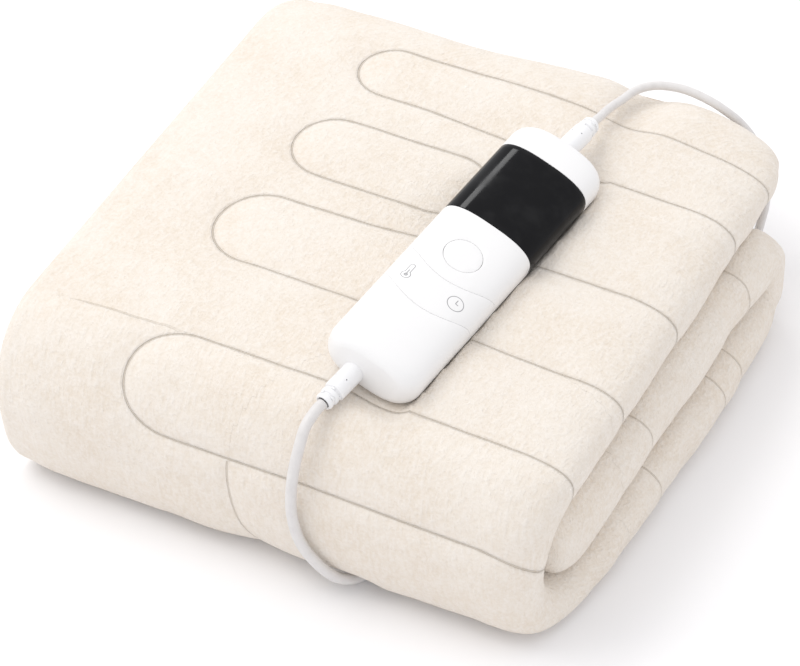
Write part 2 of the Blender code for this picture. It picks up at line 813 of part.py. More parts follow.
def build_controller(make, white, black):
    hub = make.empty("controller", shell_pose())
    width, length, height = SHELL_SIZE
    top = height / 2
    beyond = 5 * MM

    shell = make.piece("controller_shell", loft("controller_shell", shell_rings(SHELL_SIZE)), white, hub)
    outline = make.cutter(loft("housing_outline", shell_rings(SHELL_SIZE)), hub)
    window_core = make.cutter(loft("window_core", shell_rings(SHELL_SIZE, DISPLAY_DEPTH)), hub)
    recess_core = make.cutter(loft("recess_core", shell_rings(SHELL_SIZE, DISPLAY_DEPTH + GAP)), hub)

    near, far = DISPLAY
    side = width / 2 + beyond
    window = make.piece(
        "display_window", box("display_window", (-side, near, DISPLAY_FOOT), (side, far, top + beyond)), black, hub
    )
    combine(window, "INTERSECT", outline)
    combine(window, "DIFFERENCE", window_core)
    recess_low = (-side, near - GAP, DISPLAY_FOOT - GAP)
    recess_high = (side, far + GAP, top + beyond)
    recess = make.cutter(box("display_recess", recess_low, recess_high), hub)
    combine(recess, "DIFFERENCE", recess_core)
    combine(shell, "DIFFERENCE", recess)

    button_foot = top - 4 * MM
    seat = Vector((*BUTTON_PLACE, button_foot))
    button = make.piece("power_button", drum("power_button", BUTTON_RADIUS, 0, 2 * beyond), white, hub, seat)
    combine(button, "INTERSECT", outline)
    well = make.cutter(drum("button_well", BUTTON_RADIUS + GAP, -1.2 * MM, 2 * beyond), hub, seat)
    combine(shell, "DIFFERENCE", well)

    key_foot = top - KEY_DEPTH
    key_axis = Vector((0, sum(KEY_ENDS) / 2, key_foot))
    prism = key_prism("key_bar", 0, 0, 3 * beyond)
    prism.transform(Matrix.Translation((0, -key_axis.y, 0)))
    key = make.piece("key_bar", prism, white, hub, key_axis)
    combine(key, "INTERSECT", outline)
    pocket = make.cutter(key_prism("key_pocket", KEY_SEAM, key_foot - KEY_TRAVEL, key_foot + 3 * beyond), hub)
    combine(shell, "DIFFERENCE", pocket)

    for name, root, aim in RELIEFS:
        spot = shell_pose() @ (Vector(root) * MM)
        facing = Vector(aim).to_track_quat("Z", "Y")
        relief_piece = make.piece(name, profile_mesh(name), white)
        spin(relief_piece)
        socket = drum(f"{name}_socket", RELIEF_PROFILE[-2][0] * MM + GAP, RELIEF_ROOT * MM - GAP, 4 * beyond)
        socket_cutter = make.cutter(socket)
        for piece in (relief_piece, socket_cutter):
            piece.location = spot
            piece.rotation_mode = "QUATERNION"
            piece.rotation_quaternion = facing
        combine(shell, "DIFFERENCE", socket_cutter)


def build_mains_end(make, white, tie_finish, brass):
    """The coil with its tie, the plug and its two pins, on the surface behind the cloth."""
    coil_place = Vector(COIL_CENTRE) * MM
    make.piece("lead_coil", coil_mesh(), white, place=coil_place, crease=60)
    make.piece("lead_tie", tie_mesh(), tie_finish, place=coil_place)
    tail = Vector(PLUG_TAIL) * MM
    plug = make.piece("mains_plug", plug_mesh(), white, place=tail, crease=50)
    for name, side in (("pin_left", -1), ("pin_right", 1)):
        spot = tail + Vector((0, side * PIN_SPACING / 2 * MM, 0))
        make.piece(name, pin_mesh(name), brass, place=spot)
        face = -PLUG_SECTIONS[-1][0] * MM
        _, thick, height = PIN_SIZE
        low = Vector((face - 2 * MM, -thick / 2 * MM - GAP, -height / 2 * MM - GAP))
        high = Vector((face + PIN_ROOT * MM + GAP, thick / 2 * MM + GAP, height / 2 * MM + GAP))
        slot = make.cutter(box(f"{name}_slot", low, high), place=spot)
        combine(plug, "DIFFERENCE", slot)


def main():
    make = Builder()
    plush = material("cream_plush", (0.9, 0.84, 0.75), 0.95)
    white = material("white_plastic", (0.9, 0.9, 0.9), 0.25)
    black = material("black_window", (0.01, 0.01, 0.012), 0.08)
    lead_white = material("lead_white", (0.82, 0.82, 0.83), 0.45)
    tie_grey = material("tie_grey", (0.5, 0.5, 0.5), 0.6)
    brass = material("pin_metal", (0.78, 0.72, 0.58), 0.3)
    brass.node_tree.nodes["Principled BSDF"].inputs["Metallic"].default_value = 1
    make.piece("blanket", loft("blanket", cloth_rings()), plush, crease=80)
    build_controller(make, white, black)
    make.piece("lead_blanket", lead_mesh("lead_blanket", BLANKET_ROUTE, LEAD_BLANKET, 3), lead_white, crease=60)
    make.piece("lead_mains", lead_mesh("lead_mains", MAINS_ROUTE, LEAD_MAINS, 2), lead_white, crease=60)
    make.piece("lead_plug", lead_mesh("lead_plug", PLUG_ROUTE, LEAD_MAINS, 2), lead_white, crease=60)
    build_mains_end(make, lead_white, tie_grey, brass)


main()
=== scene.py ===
# %% [markdown]
# # An electric heated blanket, folded, with its hand controller
# The object is one plush cloth. It is doubled along its right side, folded in three, and a flat
# hand controller lies on it with a lead at each end. A blanket like this holds a heating wire that
# runs to and fro between its two faces, and the rows of stitching beside the wire give the cloth
# its long rounded channels. The lesson goes from the outside in: camera and light, the leads,
# the cloth, the controller, the small parts, and last the finishes.

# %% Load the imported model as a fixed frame
import math

import bmesh
import bpy
import numpy as np
from mathutils import Matrix, Vector, noise


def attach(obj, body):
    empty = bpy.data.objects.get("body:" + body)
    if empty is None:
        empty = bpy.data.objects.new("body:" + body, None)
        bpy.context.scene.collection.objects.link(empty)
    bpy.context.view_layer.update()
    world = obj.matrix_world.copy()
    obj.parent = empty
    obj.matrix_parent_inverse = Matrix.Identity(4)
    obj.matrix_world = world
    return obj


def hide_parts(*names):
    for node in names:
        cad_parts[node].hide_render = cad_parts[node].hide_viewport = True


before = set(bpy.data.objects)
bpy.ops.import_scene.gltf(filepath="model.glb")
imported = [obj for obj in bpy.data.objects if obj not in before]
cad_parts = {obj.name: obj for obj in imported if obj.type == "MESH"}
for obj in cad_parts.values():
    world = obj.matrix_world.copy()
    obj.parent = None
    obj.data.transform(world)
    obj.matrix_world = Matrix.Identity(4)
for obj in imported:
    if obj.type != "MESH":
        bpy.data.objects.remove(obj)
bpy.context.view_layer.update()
MM = 0.001

# %% [markdown]
# ## The camera
# The picture was taken from the front right, well above the blanket, with a long lens that
# flattens the perspective. A camera is easiest to reason about as two angles and a distance: how
# far it has walked round the object, how far it has climbed, and how far away it stands. From
# those angles come the three directions of its body: right, up and back.

# %% The camera stands at the picture's angle
AZIMUTH = math.radians(26.3)
ELEVATION = math.radians(42.9)
DISTANCE = 2.0851
FOCAL_LENGTH = 220.5
ASIDE = (-0.00736, 0.01528)  # metres to the right and up, so that the object sits where it did


def link_in(item):
    """Adds an object to the scene."""
    bpy.context.scene.collection.objects.link(item)
    return item


right = Vector((math.cos(AZIMUTH), math.sin(AZIMUTH), 0))
back = Vector(
    (
        math.sin(AZIMUTH) * math.cos(ELEVATION),
        -math.cos(AZIMUTH) * math.cos(ELEVATION),
        math.sin(ELEVATION),
    )
)
up = back.cross(right)
lens = bpy.data.cameras.new("studio_camera")
lens.sensor_fit = "HORIZONTAL"
lens.sensor_width = 36
lens.lens = FOCAL_LENGTH
camera = link_in(bpy.data.objects.new("studio_camera", lens))
camera.location = back * DISTANCE + right * ASIDE[0] + up * ASIDE[1]
camera.rotation_euler = (math.pi / 2 - ELEVATION, 0, AZIMUTH)
bpy.context.scene.camera = camera
print("camera at", [round(value, 3) for value in camera.location])

# %% [markdown]
# ## Floor and light
# The set is a white sweep under very soft light, so almost everything is bright and the shadows
# are only where the blanket touches the floor. A white world gives that even light. A large lamp
# above the left side makes the top a little brighter than the lips at the right, and a small one
# far behind is mirrored in the black window as a pale streak.

# %% A plain pale floor


def as_mesh(bm, name, closed=True):
    """Turns a finished bmesh into a mesh and lets go of it. A closed one is turned right side out."""
    if closed:
        bmesh.ops.recalc_face_normals(bm, faces=bm.faces)
    mesh = bpy.data.meshes.new(name)
    bm.to_mesh(mesh)
    bm.free()
    return mesh


bm = bmesh.new()
bmesh.ops.create_grid(bm, x_segments=1, y_segments=1, size=4)
floor = link_in(bpy.data.objects.new("floor", as_mesh(bm, "floor", closed=False)))
floor_finish = bpy.data.materials.new("floor_white")
floor_finish.use_nodes = True
floor_shader = floor_finish.node_tree.nodes["Principled BSDF"]
floor_shader.inputs["Base Color"].default_value = (0.93, 0.925, 0.935, 1)
floor_shader.inputs["Roughness"].default_value = 0.9
floor_shader.inputs["Specular IOR Level"].default_value = 0.1
floor.data.materials.append(floor_finish)

# %% A white world, a large soft lamp and a small one
bpy.context.scene.view_settings.view_transform = "Standard"
world = bpy.data.worlds.new("studio")
world.use_nodes = True
world.node_tree.nodes["Background"].inputs["Color"].default_value = (0.985, 0.985, 1, 1)
world.node_tree.nodes["Background"].inputs["Strength"].default_value = 0.98
bpy.context.scene.world = world


def soft_lamp(name, place, aim, width, height, watts, colour, turn=0.0):
    """A rectangular lamp that looks from its place towards a point, turned about that line."""
    data = bpy.data.lights.new(name, "AREA")
    data.shape = "RECTANGLE"
    data.size = width
    data.size_y = height
    data.energy = watts
    data.color = colour
    lamp = link_in(bpy.data.objects.new(name, data))
    lamp.location = place
    facing = (Vector(aim) - Vector(place)).to_track_quat("-Z", "Y").to_matrix()
    lamp.rotation_euler = (facing @ Matrix.Rotation(math.radians(turn), 3, "Z")).to_euler()


soft_lamp("large_lamp", (-0.95, -0.3, 1.5), (0, 0, 0.04), 1.1, 1.1, 9.6, (1, 0.985, 0.955))
soft_lamp("streak_lamp", (-0.42, 0.82, 0.88), (0.03, 0.02, 0.1), 0.22, 0.26, 1.7, (1, 1, 1), -41)
print("lamps:", [lamp.name for lamp in bpy.data.lights])

# %% [markdown]
# ## The leads
# A lead is a fixed length of something flexible. Its route is a short list of given points, and
# one smooth curve is read through all of them, the way a spline batten bends through pins. The
# leads come before everything else, because their length and their room on the floor decide where
# the rest may lie.

# %% One smooth curve through a list of points
BLANKET_LEAD = 4.7  # mm, diameter
MAINS_LEAD = 3.8
BLANKET_ROUTE = (
    (13.41, -113.39, 82.49), (12.65, -117.13, 82.0), (12.1, -121.0, 80.8), (11.6, -125.4, 78.6),
    (11.7, -129.8, 74.0), (11.3, -134.2, 64.9), (11.3, -137.4, 54.7), (12.0, -139.0, 43.8),
    (14.3, -139.2, 32.9), (17.6, -139.0, 25.6), (21.4, -138.2, 19.9), (25.3, -136.8, 14.9),
    (29.2, -134.0, 9.9), (33.2, -128.4, 5.5), (37.6, -119.4, 3.2), (42.4, -110.0, 2.5), (47.2, -101.0, 2.4),
    (52.0, -93.0, 2.4),
)
MAINS_ROUTE = (
    (41.39, 82.65, 89.54), (41.78, 86.27, 89.31), (40.9, 91.4, 86.3), (40.3, 97.6, 83.8),
    (40.1, 105.8, 80.9), (41.1, 114.6, 78.4), (42.8, 122.8, 77.4), (46.5, 128.6, 77.1), (52.2, 132.6, 76.8),
    (61.8, 135.4, 75.8), (72.5, 136.1, 73.4), (79.8, 137.0, 69.7), (85.8, 139.6, 63.4), (92.0, 140.6, 55.6),
    (98.0, 137.6, 48.2), (102.4, 132.6, 40.6), (103.8, 129.4, 32.0), (102.6, 128.8, 22.0),
    (100.4, 130.6, 12.6), (96.0, 134.6, 5.8), (89.6, 141.0, 2.4), (82.0, 149.2, 1.9), (76.0, 156.4, 2.0),
    (72.0, 162.6, 2.5),
)
PLUG_ROUTE = (
    (18.8, 162.2, 2.5), (15.0, 154.6, 2.0), (10.6, 146.6, 2.3), (5.0, 138.6, 4.4),
    (-2.0, 133.2, 6.7), (-8.5, 132.0, 7.2),
)


def smooth_curve(points, step):
    """One smooth curve through the points, read at even steps of about that length."""
    fine = []
    last = len(points) - 1
    for index in range(last):
        before, start, end, after = (Vector(points[min(max(index + k, 0), last)]) for k in (-1, 0, 1, 2))
        for part in range(12):
            t = part / 12
            linear = (end - before) * t
            square = (2 * before - 5 * start + 4 * end - after) * t**2
            cube = (3 * start - before - 3 * end + after) * t**3
            fine.append((2 * start + linear + square + cube) / 2)
    fine.append(Vector(points[-1]))
    lengths = [0.0]
    for first, second in zip(fine, fine[1:]):
        lengths.append(lengths[-1] + (second - first).length)
    count = max(2, round(lengths[-1] / step))
    spots = []
    index = 0
    for number in range(count + 1):
        target = lengths[-1] * number / count
        while index < len(fine) - 2 and lengths[index + 1] < target:
            index += 1
        share = (target - lengths[index]) / max(lengths[index + 1] - lengths[index], 1e-9)
        spots.append(fine[index].lerp(fine[index + 1], min(share, 1)))
    return spots


def length_of(spots):
    return sum((second - first).length for first, second in zip(spots, spots[1:]))


print("lead to the blanket, mm:", round(length_of(smooth_curve(BLANKET_ROUTE, 1.5)), 1))

# %% [markdown]
# The rest of the mains lead is put away as for storage. It is wound by hand into a round coil
# behind the blanket, three turns side by side and four on top of each other. Each turn stays in
# its own place in the bundle and steps over to the next place a little earlier than the turn
# before it, so that two turns never want the same room.

# %% The turns of the coil
COIL_CENTRE = Vector((45.5, 147.0))
COIL_COLUMNS = (25.9, 22.0, 18.1)  # radii of the turns
COIL_LAYERS = (2.8, 6.65, 10.5, 14.35)  # heights of the turns
COIL_ORDER = (
    (0, 0), (1, 0), (2, 0), (2, 1), (1, 1), (0, 1), (0, 2), (1, 2), (2, 2), (2, 3), (1, 3), (0, 3),
)
STEP_OVER = 76  # degrees that a turn takes to step to the next place


def ease(value, low, high):
    """0 at low, 1 at high, and a soft step between. High may be below low."""
    share = np.clip((np.asarray(value, float) - low) / (high - low), 0, 1)
    return share * share * (3 - 2 * share)


def coil_turns(start, end):
    """Points round the coil, from the angle of one outside point to that of the other."""
    first = Vector(start[:2]) - COIL_CENTRE
    last = Vector(end[:2]) - COIL_CENTRE
    from_angle = math.degrees(math.atan2(first.y, first.x))
    to_angle = math.degrees(math.atan2(last.y, last.x)) + 360 * (len(COIL_ORDER) - 1)
    stay = (to_angle - from_angle) / len(COIL_ORDER)
    places = [(COIL_COLUMNS[column], COIL_LAYERS[layer]) for column, layer in COIL_ORDER]
    points = []
    for angle in np.arange(from_angle + 20, to_angle - 12, 15):
        radius, height = places[0]
        for number, (next_radius, next_height) in enumerate(places[1:], start=1):
            share = ease(angle, from_angle + number * stay, from_angle + number * stay + STEP_OVER)
            radius += (next_radius - radius) * share
            height += (next_height - height) * share
        radius += (first.length - radius) * (1 - ease(angle, from_angle, from_angle + 90))
        leave = ease(angle, to_angle - 205, to_angle - 110)
        radius += (last.length - radius) * leave
        height += (end[2] - height) * ease(angle, to_angle - 125, to_angle)
        turn = math.radians(angle)
        spot = COIL_CENTRE + Vector((math.cos(turn), math.sin(turn))) * radius
        points.append((spot.x, spot.y, height))
    return points


turns = coil_turns(MAINS_ROUTE[-1], PLUG_ROUTE[0])
mains_points = [*MAINS_ROUTE, *turns, *PLUG_ROUTE]
print("points round the coil:", len(turns))

# %% The two leads are curves with a thickness


def lead(name, points, diameter, step):
    """A round lead along the points, in millimetres, as a curve of one open spline."""
    spots = smooth_curve(points, step)
    curve = bpy.data.curves.new(name, "CURVE")
    curve.dimensions = "3D"
    curve.bevel_depth = diameter / 2 * MM
    curve.bevel_resolution = 5
    curve.use_fill_caps = True
    line = curve.splines.new("POLY")
    line.points.add(len(spots) - 1)
    for point, spot in zip(line.points, spots):
        point.co = (*(spot * MM), 1)
    line.use_smooth = True
    made = link_in(bpy.data.objects.new(name, curve))
    print(name, "length, m:", round(length_of(spots) * MM, 3), "points:", len(spots))
    return made, length_of(spots) * MM


blanket_lead, blanket_lead_length = lead("blanket_lead", BLANKET_ROUTE, BLANKET_LEAD, 1.6)
mains_lead, mains_lead_length = lead("mains_lead", mains_points, MAINS_LEAD, 2.4)

# %% [markdown]
# ## The cloth
# The cloth is about half a metre wide, as it is doubled, and three quarters of a metre long. The
# doubled edge makes a plump lip at the right. It is then folded in three like a letter: the top
# layer rolls down over the front into the bottom layer, which turns back at the far end into the
# middle layer. Such a cloth could be simulated, but a hand folds it more neatly than gravity
# does. So the folds are drawn instead: one path along the fold, seen from the side, and one
# section across it, seen from the front. A grid is then laid over both, like a map.

# %% Sizes of the folded cloth, in millimetres, from the middle of its own table
FOLD_HEIGHT = 79
LAYER_GAP = 1.5
PLY_SLIT = 1.2
LAYER = (FOLD_HEIGHT - 2 * LAYER_GAP) / 3
FOLD_START = -93
FRONT_REACH = 36
FRONT_FULLNESS = (2.1, 3.2)  # of the front fold's upper and lower half; 2 is an ellipse
LIP_FULLNESS = 2.3
THINNEST = 0.42  # share of its thickness that the cloth keeps at its very ends
TOP_END = (131, 141)
CLOTH_SHIFT = (3.3, -5.2)
TURN_START = 89
MIDDLE_END = -104
END_ROUND = 12
HEM_ROUND = 6
CORNER = 24

# Columns: place along the layer, left edge, right edge
EDGES = {
    "top": ((-93, -134, 113), (0, -132, 113), (80, -130, 112), (141, -129, 111)),
    "front": ((0, -134, 113), (0.3, -133, 112), (0.5, -131, 112), (0.8, -127, 115), (1, -123, 120)),
    "bottom": ((-93, -123, 120), (-72, -129, 122), (-30, -131, 125), (40, -131, 127), (89, -130, 125)),
    "turn": ((0, -130, 125), (0.5, -126, 121), (1, -130, 122)),
    "middle": ((-104, -126, 115), (-60, -130, 119), (60, -130, 121), (89, -130, 122)),
}
# How far the lip at the right reaches in over and under the layer
LIPS = {"top": (26, 13), "front": (24, 12), "bottom": (18, 15), "turn": (16, 9), "middle": (15, 14)}
print("one doubled layer, mm:", round(LAYER, 1))


def read_table(rows, place, column):
    """Straight-line reading of a short table, sorted by its first column."""
    return float(np.interp(place, [entry[0] for entry in rows], [entry[column] for entry in rows]))


def power(value, exponent):
    return math.copysign(abs(value) ** exponent, value)


# %% [markdown]
# The path along the fold is a list of stations. Each one says where the outer and the inner face
# of the doubled cloth are, as seen from the right side, and where its two edges are. The
# stations stand close together where the cloth is seen, and further apart inside the stack.

# %% Stations along the fold path


def front_point(share, reach, half, fullness_top, fullness_foot):
    """A point of the front fold's outline, from its top (0) to its foot (1)."""
    angle = math.pi * (0.5 - share)
    fullness = fullness_top if share < 0.5 else fullness_foot
    across = power(math.cos(angle), 2 / fullness)
    return FOLD_START - reach * across, FOLD_HEIGHT / 2 + half * power(math.sin(angle), 2 / fullness)


def turn_point(share, radius):
    angle = math.pi * (share - 0.5)
    return TURN_START + radius * math.cos(angle), LAYER + LAYER_GAP / 2 + radius * math.sin(angle)


def station(run, place, from_end=None, slide=0.0):
    """One place along the cloth. from_end is its distance from a free end, where there is one."""
    if run == "top":
        outer, inner = (place, FOLD_HEIGHT), (place, FOLD_HEIGHT - LAYER)
    elif run == "front":
        inside = FOLD_HEIGHT / 2 - LAYER
        outer = front_point(place, FRONT_REACH, FOLD_HEIGHT / 2, *FRONT_FULLNESS)
        inner = front_point(place, inside, inside, 2, 2)
    elif run == "bottom":
        outer, inner = (place, 0), (place, LAYER)
    elif run == "turn":
        outer = turn_point(place, LAYER + LAYER_GAP / 2)
        inner = turn_point(place, LAYER_GAP / 2)
    else:
        outer = (place, 2 * LAYER + LAYER_GAP)
        inner = (place, LAYER + LAYER_GAP)
    lip_out, lip_in = LIPS[run]
    fat = 1.0
    if from_end is not None and from_end < END_ROUND:
        fat = max(THINNEST, math.sqrt(1 - (1 - from_end / END_ROUND) ** 2))
    return dict(
        run=run, place=place, outer=outer, inner=inner, fat=fat, slide=slide,
        left=read_table(EDGES[run], place, 1), right=read_table(EDGES[run], place, 2),
        lip_out=lip_out, lip_in=lip_in, from_end=1e3 if from_end is None else from_end,
    )


def even(start, end, step):
    """Places from start to end at even steps of about that length, both ends included."""
    return np.linspace(start, end, max(2, round(abs(end - start) / step) + 1))


END_STEPS = (0, 0.3, 0.9, 1.8, 3.0, 4.4, 6.0, 7.6, 9.2)
stations = [station("top", TOP_END[0] - gap, gap, 10) for gap in END_STEPS]
for place in even(TOP_END[0] - 11, FOLD_START, 1.9):
    stations.append(station("top", place, TOP_END[0] - place, 10 * float(ease(place, 92, 131))))
stations += [station("front", share) for share in even(0, 1, 1 / 62)[1:]]
stations += [station("bottom", place) for place in even(FOLD_START, TURN_START, 2.8)[1:]]
stations += [station("turn", share) for share in even(0, 1, 1 / 26)[1:]]
for place in even(TURN_START, MIDDLE_END + 11, 2.8)[1:]:
    stations.append(station("middle", place, place - MIDDLE_END))
stations += [station("middle", MIDDLE_END + gap, gap) for gap in reversed(END_STEPS)]
print("stations along the fold:", len(stations))

# %% Their numbers as one array each, with the changes from one run to the next made soft


def gather(key, part=None):
    values = [entry[key] if part is None else entry[key][part] for entry in stations]
    return np.array(values, float) if key != "run" else np.array([entry["run"] for entry in stations])


run = gather("run")
outer = np.stack([gather("outer", 0), gather("outer", 1)], 1)
inner = np.stack([gather("inner", 0), gather("inner", 1)], 1)
travelled = np.concatenate([[0], np.cumsum(np.hypot(*np.diff((outer + inner) / 2, axis=0).T))])
front_travelled = np.concatenate([[0], np.cumsum(np.hypot(*np.diff(outer, axis=0).T))])


def soften(values, width):
    """Each value becomes the average of its neighbours along the cloth, out to about that width."""
    weight = np.exp(-(((travelled[:, None] - travelled[None, :]) / width) ** 2))
    return weight @ values / weight.sum(1)


def corner_inset(distance, share):
    """How far a rounded corner draws an edge in, at a distance from the cloth's end."""
    missing = np.clip(CORNER - distance, 0, CORNER)
    return (CORNER - np.sqrt(CORNER**2 - missing**2)) * share


from_end = gather("from_end")
fat = gather("fat")
slide = gather("slide")
lip_out = soften(gather("lip_out"), 9)
lip_in = soften(gather("lip_in"), 9)
inset = corner_inset(from_end, np.where(run == "middle", 0.5, 1.0))
left = soften(gather("left"), 6) + inset
right_edge = soften(gather("right"), 6) - inset
print("cloth along its middle, mm:", round(travelled[-1]))

# %% [markdown]
# The section across the cloth is a hairpin. It starts between the two plies, goes out round the
# hem of the upper ply, along its face, round the lip at the right, back along the lower ply, round
# its hem, and in between the plies again. The two faces inside are never seen, so a few columns
# are enough for them.

# %% Columns across the cloth
COLUMNS = [("slit", 1, share) for share in (0, 0.25, 0.5, 0.75, 1)]
COLUMNS += [("hem", 1, angle) for angle in (-78, -52, -26, 0, 26, 52, 78)]
COLUMNS += [("face", 1, share) for share in even(0, 1, 1 / 128)]
COLUMNS += [("lip", 1, angle) for angle in even(90, -90, 6)[1:-1]]
COLUMNS += [("face", -1, share**0.6) for share in even(1, 0, 1 / 22)]
COLUMNS += [("hem", -1, angle) for angle in (78, 52, 26, 0, -26, -52, -78)]
COLUMNS += [("slit", -1, share) for share in (1, 0.75, 0.5, 0.25, 0)]
print("columns across the cloth:", len(COLUMNS))


def across(kind, side, value):
    """For every station: x, share of the layer's thickness, and the way the face looks."""
    slit = PLY_SLIT / LAYER
    flat_left = left + HEM_ROUND
    flat_right = right_edge - np.maximum(lip_out, lip_in)
    middle = side * (1 + slit) / 2
    half = (1 - slit) / 2
    zero = np.zeros(len(stations))
    thin = np.sqrt(1 - (1 - np.clip(from_end / 6, 0, 1)) ** 2) * 0.94 + 0.06
    if kind == "slit":
        x = (right_edge - 14) + (left + 2.5 - right_edge + 14) * value
        return x, middle - side * half * thin, zero, zero
    if kind == "hem":
        turn = math.radians(value)
        x = left + HEM_ROUND * (1 - math.cos(turn) * thin)
        return x, middle + half * math.sin(turn) * thin, -math.cos(turn) * (1 + zero), zero
    if kind == "face":
        x = flat_left + (flat_right - flat_left) * value
        return x, middle + side * half * thin, zero, side * (1 + zero)
    turn = math.radians(value)
    reach = lip_out if value > 0 else lip_in
    out = power(math.cos(turn), 2 / LIP_FULLNESS)
    rise = power(math.sin(turn), 2 / LIP_FULLNESS)
    x = right_edge - reach * (1 - out) - (1 - thin) * 6 * out
    share = rise * (middle + half * thin)
    return x, share, math.cos(turn) * (1 + zero), math.sin(turn) * (1 + zero)


# %% [markdown]
# ## Quilting
# Two rows of stitching run beside each channel and join in a half round at the left. A thread
# pulls the cloth down into a narrow furrow, and the filling swells up between the rows. Both come
# from one number for each point: how far it is from the nearest thread, measured on the cloth as
# it lies unrolled. The sign of that number says on which side of the thread the point is, so
# that the same number also draws the stitch line later, in the finish: a darker line that is
# partly the thread and partly painted shade of its furrow.

# %% Where the stitching runs
# Columns: far line at the left, at the right; near line at the left, at the right;
# leftmost point; rightmost point where the lines close again (None: they run over the edge)
LOOPS = (
    (109, 109, 77, 70, -73, None),
    (56, 56, 18, 18, -76, 12),
    (-1, 9, -44, -44, -82, None),
    (-92, -92, -139, -139, -76, None),
)
SIDE_SEAM = (-92.5, -60)  # place; rightmost point
SIDE_SEAM_BEND = (4.5, -105, -134)  # it drops by so much, from and to this far left
FRONT_SEAM = (-24, -139, 95)  # leftmost point; place where it starts; radius
BOTTOM_LINES = (-29, 32, 50)
MIDDLE_LINES = (-29, 68)
SHEAR = (-40, 60)
PUFF = (1.6, 11)  # how far the filling swells, and how far from the thread
FURROW = (0.9, 2.6)
FAR = 1e3  # a distance that is never near


def loop_distance(x, place):
    """Signed distance to the nearest loop of stitching: below 0 inside a loop."""
    shear = ease(x, *SHEAR)
    nearest = np.full(x.shape, FAR)
    for far_left, far_right, near_left, near_right, start, stop in LOOPS:
        far = far_left + (far_right - far_left) * shear
        near = near_left + (near_right - near_left) * shear
        middle, radius = (far + near) / 2, (far - near) / 2
        beyond = np.maximum(start + radius - x, 0)
        if stop is not None:
            beyond = np.maximum(beyond, x - stop + radius)
        nearest = np.minimum(nearest, np.hypot(beyond, place - middle) - radius)
    return nearest


def stripe_distance(place, lines):
    """Signed distance to the nearest of some parallel lines. The sign changes at each of them."""
    sign = np.ones(place.shape)
    nearest = np.full(place.shape, FAR)
    for line in lines:
        sign = np.where(place > line, -sign, sign)
        nearest = np.minimum(nearest, np.abs(place - line))
    return nearest * sign


def swell(distance):
    """Height of the quilted face at a distance from the thread."""
    puff = PUFF[0] * (1 - np.exp(-((distance / PUFF[1]) ** 2)))
    return puff - FURROW[0] * np.exp(-((np.abs(distance) / FURROW[1]) ** 1.5))


print("loops of stitching:", len(LOOPS))

# %% [markdown]
# ## Weight and wrinkles
# A real stack isn't ruled with a straight edge. The far right corner has sunk, a lead has pressed
# a dent under itself, the foot of the front fold lies over the other lead, and the controller
# rests in a shallow bed of its own shape. The lips carry soft folds, strongest where the cloth is
# gathered under the layer above. They come from smooth noise that is stretched across the lip.

# %% How the stack has settled
# Columns: depth; along X: from, to; along Y: from, to
SINKS = (
    (3, 15, 110, -400, -300), (5, 50, 112, 60, 130), (2, -400, -300, 95, 140), (2, -60, -134, -400, -300),
)
LEAD_DENT = (6, 45, 13, 130, 30)
RIM_DROP = (9, (84, 112), (-50, -95), (0, 22), (38, 60))  # depth; then along X, along Y, rising, gone
FOOT_LIFT = (6.8, 14)
FOOT_LINE = (24.7, -128.8, 0.585)
FOOT_SIDES = (20, 8)
FOOT_REACH = (-58, -74)


def settle(points):
    """Lets the stack sink where it is loaded, and keeps its foot on the floor."""
    x, y, z = points[..., 0], points[..., 1], points[..., 2]
    depth = np.zeros(x.shape)
    for drop, x_from, x_to, y_from, y_to in SINKS:
        depth += drop * ease(x, x_from, x_to) * ease(y, y_from, y_to)
    drop, x_middle, x_width, y_middle, y_width = LEAD_DENT
    depth += drop * np.exp(-(((x - x_middle) / x_width) ** 2) - ((y - y_middle) / y_width) ** 2)
    z = z * (1 - depth / FOLD_HEIGHT)
    drop, along_x, along_y, rising, gone = RIM_DROP
    z = z - drop * ease(x, *along_x) * ease(y, *along_y) * ease(z, *rising) * (1 - ease(z, *gone))
    height, fade = FOOT_LIFT
    x_start, y_start, slope = FOOT_LINE
    aside = np.abs(x - x_start - slope * (y - y_start))
    share = ease(aside, *FOOT_SIDES) * ease(y, *FOOT_REACH)
    z = z + height * share * (1 - ease(np.maximum(z, 0), 0, fade))
    points[..., 2] = np.maximum(z, 0)
    return points


# %% Where the controller lies, and how it beds into the cloth
SHELL_SIZE = Vector((43.8, 155.2, 22.4)) * MM
SHELL_FULL = 2.7
SHELL_CLEAR = 0.35 * MM
SHELL_FADE = 16 * MM
shell_pose = (
    Matrix.Translation(Vector((30.7, -17.3, 87.4)) * MM)
    @ Matrix.Rotation(math.radians(-5.4), 4, "Z")
    @ Matrix.Rotation(math.radians(17.5), 4, "Y")
)


def move(points, matrix):
    """An array of points through a matrix."""
    table = np.array(matrix)
    return points @ table[:3, :3].T + table[:3, 3]


def bed(points):
    """Keeps the cloth clear of the underside of the controller. The points are in metres."""
    local = move(points, shell_pose.inverted())
    width, length, height = SHELL_SIZE
    side = np.abs(local[..., 0]) / (width / 2 + SHELL_CLEAR)
    fade = ease(np.abs(local[..., 1]), length / 2 + SHELL_FADE, length / 2)
    rim = np.clip(1 - np.minimum(side, 1) ** SHELL_FULL, 0, 1) ** (1 / SHELL_FULL)
    underside = -height / 2 * rim - SHELL_CLEAR
    pressed = local[..., 2] + (underside - local[..., 2]) * fade
    lower = (side < 1) & (local[..., 2] > underside)
    local[..., 2] = np.where(lower, pressed, local[..., 2])
    return move(local, shell_pose)


def crumple(u, v, seed):
    """Smooth noise on the cloth, about -1 to 1, one unit of u and v apart."""
    flat = zip(np.ravel(u), np.ravel(v))
    return np.array([noise.noise(Vector((a, b, seed))) for a, b in flat]).reshape(np.shape(u)) * 1.6


